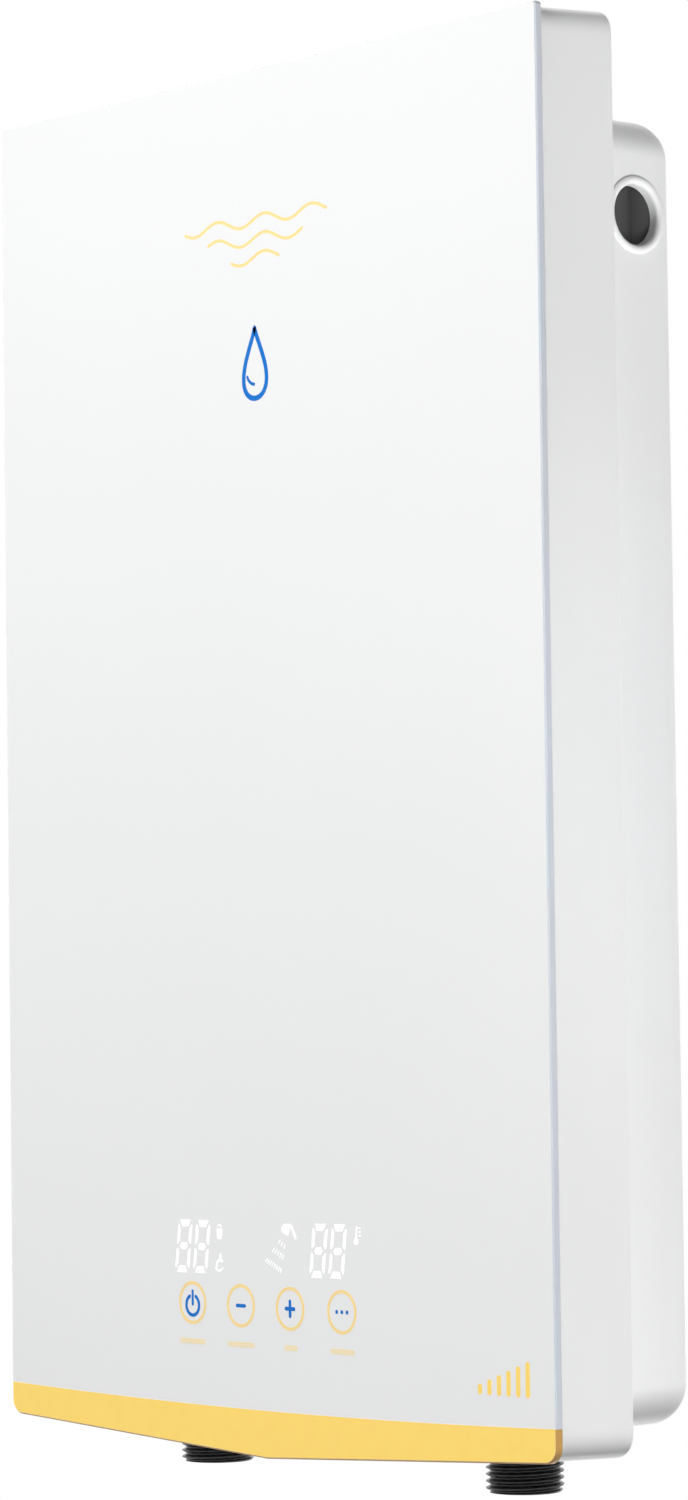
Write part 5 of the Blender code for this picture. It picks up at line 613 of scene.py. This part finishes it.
def frame_outline(inset, y):
    """Outline at a depth; the draft of the mould makes the frame taller towards the back."""
    share = (y - FRAME_FRONT) / (FRAME_BACK - FRAME_FRONT)
    low, high = FRAME_FOOT + inset - share * FRAME_DRAFT_LOW, FRAME_TOP - inset + share * FRAME_DRAFT_TOP
    points = corner_outline(FRAME_HALF - inset, low, high, 8.0 * MM - inset, 2.7, PANE_POINT)
    return at_depth(points, y)


def casing_outline(inset):
    corner = max(11.0 * MM - inset, 0.6 * MM)
    return corner_outline(CASING_HALF - inset, -CASING_TOP + inset, CASING_TOP - inset, corner)


turn = np.linspace(0, np.pi / 2, 7)
window = casing_outline(1.3 * MM)
frame_rings = [frame_outline(0.15 * MM, FRAME_FRONT), frame_outline(0, FRAME_FRONT + 0.15 * MM)]
for a in turn:
    inset, y = FRAME_ROUND * (1 - np.cos(a)), FRAME_BACK - FRAME_ROUND + FRAME_ROUND * np.sin(a)
    frame_rings.append(frame_outline(inset, y))
frame_rings += [
    at_depth(window, FRAME_BACK), at_depth(window, FRAME_BACK - FRAME_LEDGE),
    frame_outline(FRAME_WALL, FRAME_BACK - FRAME_LEDGE), frame_outline(FRAME_WALL, FRAME_FRONT),
]
frame_shell = new_piece("frame_shell", [skin(frame_rings, closed=True)], [white_plastic])
BOSS_RADIUS, SHANK_HOLE, HEAD_HOLE, NECK_HOLE = 4.6 * MM, 1.7 * MM, 3.4 * MM, 11.08 * MM
screw_foot = FRAME_FOOT - PANE_POINT * (1 - SCREW_X / FRAME_HALF)
below, boss_top, neck_top = frame_low.z - 2 * MM, -171.7 * MM, -167 * MM


def screw_rods(radius, low, high):
    """Upright rods at both cover screws."""
    return [rod(radius, (x, SCREW_Y, low), (x, SCREW_Y, high)) for x in (-SCREW_X, SCREW_X)]


carve(frame_shell, screw_rods(BOSS_RADIUS, screw_foot + 1.2 * MM, boss_top), "UNION")
openings = screw_rods(SHANK_HOLE, below, boss_top + 2 * MM)
for x in (-CONNECTOR_X, CONNECTOR_X):
    openings.append(rod(NECK_HOLE, (x, CONNECTOR_Y, below), (x, CONNECTOR_Y, neck_top), 64))
carve(frame_shell, openings)
carve(frame_shell, screw_rods(HEAD_HOLE, below, screw_foot + 2.6 * MM))
soften(frame_shell, 28)
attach(frame_shell, "heater")
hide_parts("front_frame")

RIB_HALF, RIB_SPAN, RIB_MIDDLE = 0.75 * MM, 188 * MM, 8.8 * MM
rib_front, rib_back = FRAME_FRONT + 0.3 * MM, FRAME_BACK - 1.2 * MM
rib_parts = []
for share in (-0.72, -0.36, 0.0, 0.36, 0.72):
    z = share * RIB_SPAN + RIB_MIDDLE
    for side in (-1, 1):
        inner, outer = sorted((side * (FRAME_HALF - 8.6 * MM), side * (FRAME_HALF - 1.4 * MM)))
        rib_parts.append(brick((inner, rib_front, z - RIB_HALF), (outer, rib_back, z + RIB_HALF)))
ribs = new_piece("frame_ribs", rib_parts, [white_plastic])
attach(ribs, "heater")


# Rear casing
# Deep white tub with a full round along its back edge. Three keyholes open into closed wells in
# its back, and the mains cable comes in through a lipped hole near the top of the right side.
# Lighter than the frame's plastic: partly the casing's own tone, partly painted light that brightens its side
# beside the frame.
casing_plastic = moulded("casing_white_plastic", (0.862, 0.864, 0.867))
CASING_ROUND, CASING_WALL = 9.8 * MM, 2.5 * MM
ENTRY_Y, ENTRY_Z, ENTRY_RADIUS = -17.4 * MM, 147.2 * MM, 8.05 * MM
KEYHOLES = ((-60 * MM, 100 * MM), (60 * MM, 100 * MM), (0.0, -153 * MM))
turn = np.linspace(0, np.pi / 2, 13)
casing_rings = [
    at_depth(casing_outline(4.4 * MM), -40.6 * MM), at_depth(casing_outline(3.2 * MM), -40.6 * MM),
    at_depth(casing_outline(3.2 * MM), -CASING_DEPTH), at_depth(casing_outline(0.2 * MM), -CASING_DEPTH),
    at_depth(casing_outline(0), -CASING_DEPTH + 0.2 * MM),
]
for a in turn:
    inset, y = CASING_ROUND * (1 - np.cos(a)), -CASING_ROUND + CASING_ROUND * np.sin(a)
    casing_rings.append(at_depth(casing_outline(inset), y))
inner_round, mouth_step = CASING_ROUND - CASING_WALL, -33 * MM
inner_rings = [at_depth(casing_outline(inset), mouth_step) for inset in (4.4 * MM, CASING_WALL)]
for a in turn[::2]:
    inset, y = CASING_WALL + inner_round * (1 - np.cos(a)), -CASING_ROUND + inner_round * np.sin(a)
    inner_rings.append(at_depth(casing_outline(inset), y))
casing_shell = new_piece("casing_shell", [skin(inner_rings[::-1] + casing_rings)], [casing_plastic])


def turned(profile, centre, axis, sides=64, closed=False):
    """Rings of a profile of (radius, height) carried round an axis through a centre."""
    a = np.linspace(0, 2 * np.pi, sides + 1)[:-1]
    radius, rise = np.array(profile, float).T
    grid = np.zeros((len(radius), sides, 3))
    grid[..., (axis + 1) % 3] = np.outer(radius, np.cos(a))
    grid[..., (axis + 2) % 3] = np.outer(radius, np.sin(a))
    grid[..., axis] = rise[:, None]
    return skin(grid + np.array(centre, float), closed)


def keyhole_bricks(half, front, back, rise):
    """A brick at each keyhole, reaching half to its sides and below, and rise above its entry."""
    return [brick((x - half, front, z - half), (x + half, back, z + rise)) for x, z in KEYHOLES]


carve(casing_shell, keyhole_bricks(6.5 * MM, -9.5 * MM, -1.2 * MM, 15.5 * MM), "UNION")
lip_turn = np.radians(np.linspace(0, 90, 11))
MOUTH_START, MOUTH_ROUND, LIP_CREST, LIP_EDGE = 99.25 * MM, 1.4 * MM, 9.3 * MM, 10.5 * MM
LIP_FACE, LIP_ROUND = 102.8 * MM, 0.8 * MM
lip = [(LIP_EDGE, MOUTH_START)]
for a in lip_turn:
    lip.append((LIP_CREST + (LIP_EDGE - LIP_CREST) * np.cos(a), CASING_HALF + LIP_ROUND * np.sin(a)))
for a in lip_turn:
    lip.append((LIP_CREST - (LIP_CREST - ENTRY_RADIUS) * np.sin(a), LIP_FACE - MOUTH_ROUND * (1 - np.cos(a))))
lip.append((ENTRY_RADIUS, MOUTH_START))
SLOT_REACH, SLOT_MOUTH = 9.8 * MM, -43 * MM
cut_parts = [rod(9.8 * MM, (96 * MM, ENTRY_Y, ENTRY_Z), (105 * MM, ENTRY_Y, ENTRY_Z), 64)]
for x in (-CONNECTOR_X, CONNECTOR_X):
    a = np.linspace(np.pi, 0, 25)
    slot_line = np.column_stack([x + SLOT_REACH * np.cos(a), CONNECTOR_Y + SLOT_REACH * np.sin(a)])
    slot_line = np.vstack([[(x - SLOT_REACH, SLOT_MOUTH)], slot_line, [(x + SLOT_REACH, SLOT_MOUTH)]])
    levels = [np.column_stack([slot_line, np.full(len(slot_line), z)]) for z in (-176 * MM, -167.8 * MM)]
    cut_parts.append(skin(levels))


KEYHOLE_ROUND, KEYHOLE_SLOT, KEYHOLE_RISE = 5.0 * MM, 2.6 * MM, 9 * MM


def keyhole(x, z):
    """Round entry below with a narrow slot above it, as one outline of x and z."""
    join = math.asin(KEYHOLE_SLOT / KEYHOLE_ROUND)
    a = np.linspace(np.pi / 2 + join, 5 * np.pi / 2 - join, 33)
    b = np.linspace(0, np.pi, 17)
    entry = np.column_stack([x + KEYHOLE_ROUND * np.cos(a), z + KEYHOLE_ROUND * np.sin(a)])
    top = np.column_stack([x + KEYHOLE_SLOT * np.cos(b), z + KEYHOLE_RISE + KEYHOLE_SLOT * np.sin(b)])
    return np.vstack([entry, top])


for x, z in KEYHOLES:
    cut_parts.append(skin([at_depth(keyhole(x, z), y) for y in (2 * MM, -3 * MM)]))
carve(casing_shell, cut_parts)
carve(casing_shell, keyhole_bricks(5.3 * MM, -8 * MM, -2 * MM, 14.3 * MM))
soften(casing_shell, 28)
entry_lip = new_piece(
    "cable_entry_lip", [turned(lip, (0, ENTRY_Y, ENTRY_Z), 0, 96, closed=True)], [casing_plastic], 40)
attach(casing_shell, "heater")
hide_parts("rear_casing")
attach(entry_lip, "heater")


# Cable seal
# Black rubber plug pushed into the collar behind the entry hole. Its thin web is split from top
# to bottom, so that the halves close round the cable and sag a little towards the split.
SEAL_FACE, SEAL_RADIUS = 99.2 * MM, 11.0 * MM
black_rubber = Finish("black_rubber", IOR=1.52)
dust = black_rubber.grain(0.0008, 3.0)
SPLIT_Y = ENTRY_Y + 1.6 * MM
# Painted shade: the rubber's colour darkens towards the split, where the web sags into a groove.
split_shade_mask = abs((black_rubber.along("Y") - SPLIT_Y) * (1 / (5 * MM)))
shaded_and_plain_rubber_tones = (0.016, 0.016, 0.017, 1.0), (0.046, 0.046, 0.047, 1.0)
black_rubber.set("Base Color", black_rubber.blend(split_shade_mask, *shaded_and_plain_rubber_tones))
black_rubber.set("Roughness", 0.55 + 0.2 * dust)
black_rubber.relief(dust, 0.02 * MM)
share_out, around = np.linspace(0, 1, 41)[1:], np.linspace(0, 2 * np.pi, 97)[:-1]
y_grid = np.outer(share_out, np.cos(around)) * SEAL_RADIUS
z_grid = np.outer(share_out, np.sin(around)) * SEAL_RADIUS
fade = np.clip((0.96 - share_out) / 0.25, 0, 1)[:, None]
off_split = np.abs(y_grid + ENTRY_Y - SPLIT_Y)
groove, hollow = np.exp(-off_split / (0.25 * MM)), np.exp(-(off_split / (2.0 * MM)) ** 2)
sag = (0.25 * groove + 0.55 * hollow) * MM * fade
web_back = np.minimum(SEAL_FACE - sag - 0.5 * MM, SEAL_FACE - 1.4 * MM)
front_grid = np.stack([SEAL_FACE - sag, y_grid + ENTRY_Y, z_grid + ENTRY_Z], -1)
back_grid = np.stack([web_back, y_grid + ENTRY_Y, z_grid + ENTRY_Z], -1)
rim_back = back_grid[-1].copy()
rim_back[:, 0] = SEAL_FACE - 4.0 * MM
seal_rings = list(front_grid) + [rim_back] + list(back_grid[-8::-1])
seal = new_piece("split_seal", [skin(seal_rings)], [black_rubber], 50)
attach(seal, "heater")
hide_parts("cable_seal")


# Water connectors
# Black glass-filled nylon, moulded with a half-inch parallel thread, a neck that drops into the
# casing's slot, a six-sided flange that keeps it from turning, and a spigot for the pipe.
THREAD_PITCH, THREAD_CREST, THREAD_ROOT = 1.814 * MM, 10.4775 * MM, 9.3155 * MM
connector_low, connector_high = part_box("inlet_connector")
THREAD_LOW, THREAD_HIGH = connector_low.z, -174.6 * MM
black_nylon = Finish("black_glass_filled_nylon", IOR=1.5)
fibres = black_nylon.grain(0.0004, 2.0, (1, 1, 3))
nylon_tones = (0.007, 0.007, 0.008, 1.0), (0.016, 0.016, 0.018, 1.0)
black_nylon.set("Base Color", black_nylon.blend(fibres, *nylon_tones))
black_nylon.set("Roughness", 0.15 + 0.12 * fibres)
black_nylon.relief(fibres, 0.01 * MM)


def threaded_connector(centre_x):
    """Grid of rings r(z, a) round the bore's axis.

    In the thread, the phase is z / pitch - a / full turn, and the radius goes from root to crest
    by a rounded triangle wave of it, and in the first millimetre it is capped by the chamfer. The
    flange's radius is its apothem over the cosine of the angle from the middle of each side.
    """
    a = np.linspace(0, 2 * np.pi, 97)[:-1]
    levels = np.linspace(THREAD_LOW, THREAD_HIGH, 150)
    phase = levels[:, None] / THREAD_PITCH - a[None, :] / (2 * np.pi)
    wave = np.abs(phase - np.floor(phase) - 0.5) * 2
    wave = np.clip((wave - 0.16) / 0.68, 0, 1)
    wave = wave * wave * (3 - 2 * wave) * 0.35 + wave * 0.65
    fade = np.clip((THREAD_HIGH - levels) / (1.2 * MM), 0, 1)[:, None]
    radius = THREAD_ROOT + (THREAD_CREST - THREAD_ROOT) * wave * fade
    radius = np.minimum(radius, THREAD_CREST - 0.9 * MM + (levels - THREAD_LOW)[:, None])
    apothem = 14.8 * MM * math.cos(math.pi / 6)
    hexagon = apothem / np.cos((a + np.pi / 6) % (np.pi / 3) - np.pi / 6)
    plain = np.ones_like(a)
    bore, neck = 7.0 * MM * plain, 9.4 * MM * plain
    rows = [(bore, THREAD_LOW + 0.3 * MM), (bore + 0.3 * MM, THREAD_LOW)]
    rows += list(zip(radius, levels))
    rows += [(neck, -174.4 * MM), (neck, -171.4 * MM), (hexagon, -171.4 * MM), (hexagon, -168.4 * MM)]
    spigot_end = connector_high.z / MM
    spigot = (
        (8.2, -168.4), (8.2, -160.3), (7.8, spigot_end), (6.6, spigot_end), (6.3, -160.2), (6.3, -166.2),
        (5.2, -166.4), (5.2, -170.8))
    rows += [(r * MM * plain, z * MM) for r, z in spigot]
    rows.append((bore, -170.8 * MM))
    rings = []
    for r, z in rows:
        x, y = centre_x + r * np.cos(a), CONNECTOR_Y + r * np.sin(a)
        rings.append(np.column_stack([x, y, np.full(len(a), z)]))
    return skin(rings, closed=True)


for name, x in (("inlet_connector", CONNECTOR_X), ("outlet_connector", -CONNECTOR_X)):
    fitting = new_piece(name.replace("connector", "thread"), [threaded_connector(x)], [black_nylon], 45)
    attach(fitting, "heater")
    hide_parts(name)


# Cover screws
# Two zinc-plated pan-head screws with a cross recess, driven from below through the frame's
# bosses into the casing's lugs.
zinc = Finish("bright_zinc", IOR=1.45, Metallic=1.0)
turning = zinc.grain(0.0005, 2.0)
zinc.set("Base Color", zinc.blend(turning, (0.60, 0.62, 0.65, 1.0), (0.72, 0.73, 0.74, 1.0)))
zinc.set("Roughness", 0.24 + 0.14 * turning)
SCREW_HEAD, SCREW_HEAD_HEIGHT, SCREW_SHANK, SCREW_TIP = 3.1 * MM, 1.9 * MM, 1.4 * MM, 0.5 * MM


def screw(centre_x, node_low, node_high):
    """Head as a grid of share r and angle a: a dome, less a cross of two slots with sloping walls."""
    r, a = np.linspace(0.02, 1, 28), np.linspace(0, 2 * np.pi, 97)[:-1]
    x, y = np.outer(r, np.cos(a)), np.outer(r, np.sin(a))
    dome = 0.45 * MM * (x**2 + y**2) ** 1.5
    slot_depth = np.maximum(
        np.clip((0.17 - np.abs(x)) / 0.07, 0, 1) * np.clip((0.62 - np.abs(y)) / 0.25, 0, 1),
        np.clip((0.17 - np.abs(y)) / 0.07, 0, 1) * np.clip((0.62 - np.abs(x)) / 0.25, 0, 1))
    z = node_low + dome + 1.1 * MM * slot_depth
    rings = list(np.stack([x * SCREW_HEAD + centre_x, y * SCREW_HEAD + SCREW_Y, z], -1))
    head_top = node_low + SCREW_HEAD_HEIGHT
    for radius, level in (
            (SCREW_HEAD, head_top), (SCREW_SHANK, head_top), (SCREW_SHANK, node_high - 0.8 * MM),
            (SCREW_TIP, node_high)):
        x, y = centre_x + radius * np.cos(a), SCREW_Y + radius * np.sin(a)
        rings.append(np.column_stack([x, y, np.full(len(a), level)]))
    return skin(rings)


for number, x in ((1, -SCREW_X), (2, SCREW_X)):
    low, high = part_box(f"cover_screw_{number}")
    middle_x = (low.x + high.x) / 2
    fastener = new_piece(f"pan_screw_{number}", [screw(middle_x, low.z, high.z)], [zinc], 35)
    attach(fastener, "heater")
    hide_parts(f"cover_screw_{number}")


# Water path inside
# Cast aluminium tank and head, drawn copper pipes, brass probes, steel-sheathed elements, and a
# flow sensor of pale nylon whose paddle rotor turns on a steel axle.
def metal(name, colour, roughness, size, stretch=(1, 1, 1), depth=0.02 * MM, dull=0.82):
    """Bare metal: tone and gloss vary with the grain that casting, drawing or turning left."""
    made = Finish(name, IOR=1.45, Metallic=1.0)
    fine, broad = made.grain(size, 3.0, stretch), made.grain(size * 14, 2.0)
    made.set("Base Color", made.blend(broad, shade(colour, dull), shade(colour, 1.05)))
    made.set("Roughness", roughness - 0.08 + 0.10 * fine + 0.06 * broad)
    made.relief(fine, depth)
    return made


def wear(finish, names):
    """Gives CAD nodes a finish in their material slots."""
    for name in names:
        for held in nodes[name].material_slots:
            held.material = finish.material


wear(metal("cast_aluminium", (0.66, 0.67, 0.69), 0.46, 0.0007, depth=0.06 * MM), [
    "heater_tank", "tank_head"])
wear(metal("drawn_copper", (0.78, 0.44, 0.30), 0.28, 0.0005, (1, 1, 9)), ["inlet_pipe", "outlet_pipe"])
wear(metal("turned_brass", (0.76, 0.60, 0.28), 0.27, 0.0004, (6, 6, 1)), [
    "inlet_sensor", "outlet_sensor"])
wear(metal("annealed_steel", (0.52, 0.50, 0.49), 0.36, 0.0006, (1, 1, 6), dull=0.7), [
    "heating_element_1", "heating_element_2", "heating_element_3"])
wear(metal("bright_steel", (0.68, 0.68, 0.70), 0.25, 0.0005), [
    "head_bolt_1", "head_bolt_2", "head_bolt_3", "head_bolt_4", "rotor_axle", "inlet_filter",
    "cutout_bracket"])
wear(metal("rolled_aluminium", (0.72, 0.73, 0.75), 0.34, 0.0005, (1, 1, 10)), ["triac_plate"])
wear(metal("tinned_copper", (0.70, 0.66, 0.60), 0.32, 0.0005), [
    "element_busbar", "touch_spring_1", "touch_spring_2", "touch_spring_3", "touch_spring_4"])
wear(moulded("pale_nylon", (0.78, 0.76, 0.70), 0.40), ["flow_sensor_body", "flow_sensor_cover"])
wear(moulded("white_acetal", (0.80, 0.80, 0.78), 0.32), ["flow_rotor"])
wear(moulded("grey_foam_rubber", (0.32, 0.33, 0.34), 0.74, 0.0009, 0.05 * MM), [
    "casing_seal", "tank_gasket"])
wear(moulded("red_button_plastic", (0.60, 0.045, 0.035), 0.34), ["reset_button"])
wear(moulded("phenolic", (0.035, 0.028, 0.024), 0.42), ["thermal_cutout"])


# Boards and their parts
# Glass-fibre boards with green lacquer over copper tracks and tinned pads, and the relays,
# transformer, capacitor and coil that stand on the power board.
board = Finish("green_circuit_board", IOR=1.5)
turned_place = board.node("ShaderNodeMapping", inputs={
    "Vector": board.place, "Rotation": (math.pi / 2, 0, 0)})
tracks = board.node("ShaderNodeTexBrick", {"offset": 0.35, "squash": 0.6}, {
    "Vector": turned_place, "Scale": 60.0, "Mortar Size": 0.035, "Mortar Smooth": 0.1,
    "Color1": (0, 0, 0, 1), "Color2": (0, 0, 0, 1), "Mortar": (1, 1, 1, 1)}, output=1)
pads = board.node("ShaderNodeTexVoronoi", inputs={"Vector": board.place, "Scale": 260.0}) < 0.22
lacquer = board.blend(tracks, (0.012, 0.115, 0.045, 1.0), (0.035, 0.230, 0.095, 1.0))
board.set("Base Color", board.blend(pads, lacquer, (0.62, 0.60, 0.56, 1.0)))
board.set("Metallic", pads * 0.9)
board.set("Roughness", 0.34 + 0.10 * board.grain(0.001))
board.relief(tracks, 0.03 * MM)
wear(board, ["power_board", "display_board", "hall_board"])
wear(moulded("relay_plastic", (0.022, 0.022, 0.025), 0.38), [
    "relay_1", "relay_2", "triac", "buzzer", "cable_clamp"])
wear(moulded("black_carrier_plastic", (0.030, 0.030, 0.032), 0.46), ["display_carrier"])
wear(moulded("light_box_plastic", (0.80, 0.80, 0.80), 0.30), ["light_box"])
wear(moulded("capacitor_box", (0.80, 0.60, 0.09), 0.34), ["capacitor"])
wear(moulded("terminal_polyamide", (0.44, 0.45, 0.47), 0.42), ["terminal_block"])

core = Finish("transformer_laminations", IOR=1.5)
sheets = core.node("ShaderNodeTexWave", {"bands_direction": "Y"}, {
    "Vector": core.place, "Scale": 260.0, "Distortion": 0.4}, output=1)
core.set("Base Color", core.blend(sheets, (0.045, 0.045, 0.050, 1.0), (0.16, 0.155, 0.15, 1.0)))
core.set("Roughness", 0.42 + 0.18 * sheets)
core.relief(sheets, 0.05 * MM)
wear(core, ["transformer"])

winding = Finish("lacquered_winding", IOR=1.5)
turns = winding.node("ShaderNodeTexWave", {"bands_direction": "DIAGONAL"}, {
    "Vector": winding.place, "Scale": 190.0, "Distortion": 1.2}, output=1)
winding.set("Base Color", winding.blend(turns, (0.20, 0.055, 0.020, 1.0), (0.62, 0.24, 0.09, 1.0)))
winding.set("Metallic", turns * 0.7)
winding.set("Roughness", 0.26 + 0.14 * turns)
winding.relief(turns, 0.12 * MM)
wear(winding, ["leakage_coil"])


# Wiring
# Stranded leads in coloured insulation, crimped at their ends, and a flat ribbon to the display.
def insulation(name, colour, second=None):
    """PVC round a stranded wire: faintly lumpy from the strands, striped if it has a second colour."""
    made = Finish(name, IOR=1.5)
    strands = made.grain(0.0011, 2.0)
    tone = made.blend(strands, shade(colour, 0.9), shade(colour, 1.08))
    if second:
        stripe = made.node("ShaderNodeTexWave", {"bands_direction": "DIAGONAL"}, {
            "Vector": made.place, "Scale": 55.0}, output=1) > 0.5
        tone = made.blend(stripe, tone, shade(second))
    made.set("Base Color", tone)
    made.set("Roughness", 0.38 + 0.14 * strands)
    made.relief(strands, 0.05 * MM)
    return made


wear(insulation("brown_insulation", (0.17, 0.065, 0.028)), ["live_lead", "heater_live_lead"])
wear(insulation("blue_insulation", (0.03, 0.13, 0.48)), ["neutral_lead", "heater_neutral_lead"])
wear(insulation("green_and_yellow_insulation", (0.07, 0.33, 0.07), (0.85, 0.68, 0.06)), ["earth_lead"])
wear(insulation("white_insulation", (0.74, 0.74, 0.72)), ["triac_lead"])
ribbon = Finish("grey_ribbon", IOR=1.5)
cores = ribbon.node("ShaderNodeTexWave", {"bands_direction": "X"}, {
    "Vector": ribbon.place, "Scale": 125.0}, output=1)
ribbon.set("Base Color", ribbon.blend(cores, (0.30, 0.31, 0.33, 1.0), (0.52, 0.53, 0.55, 1.0)))
ribbon.set("Roughness", 0.40 + 0.15 * cores)
ribbon.relief(cores, 0.08 * MM)
wear(ribbon, ["ribbon_cable"])
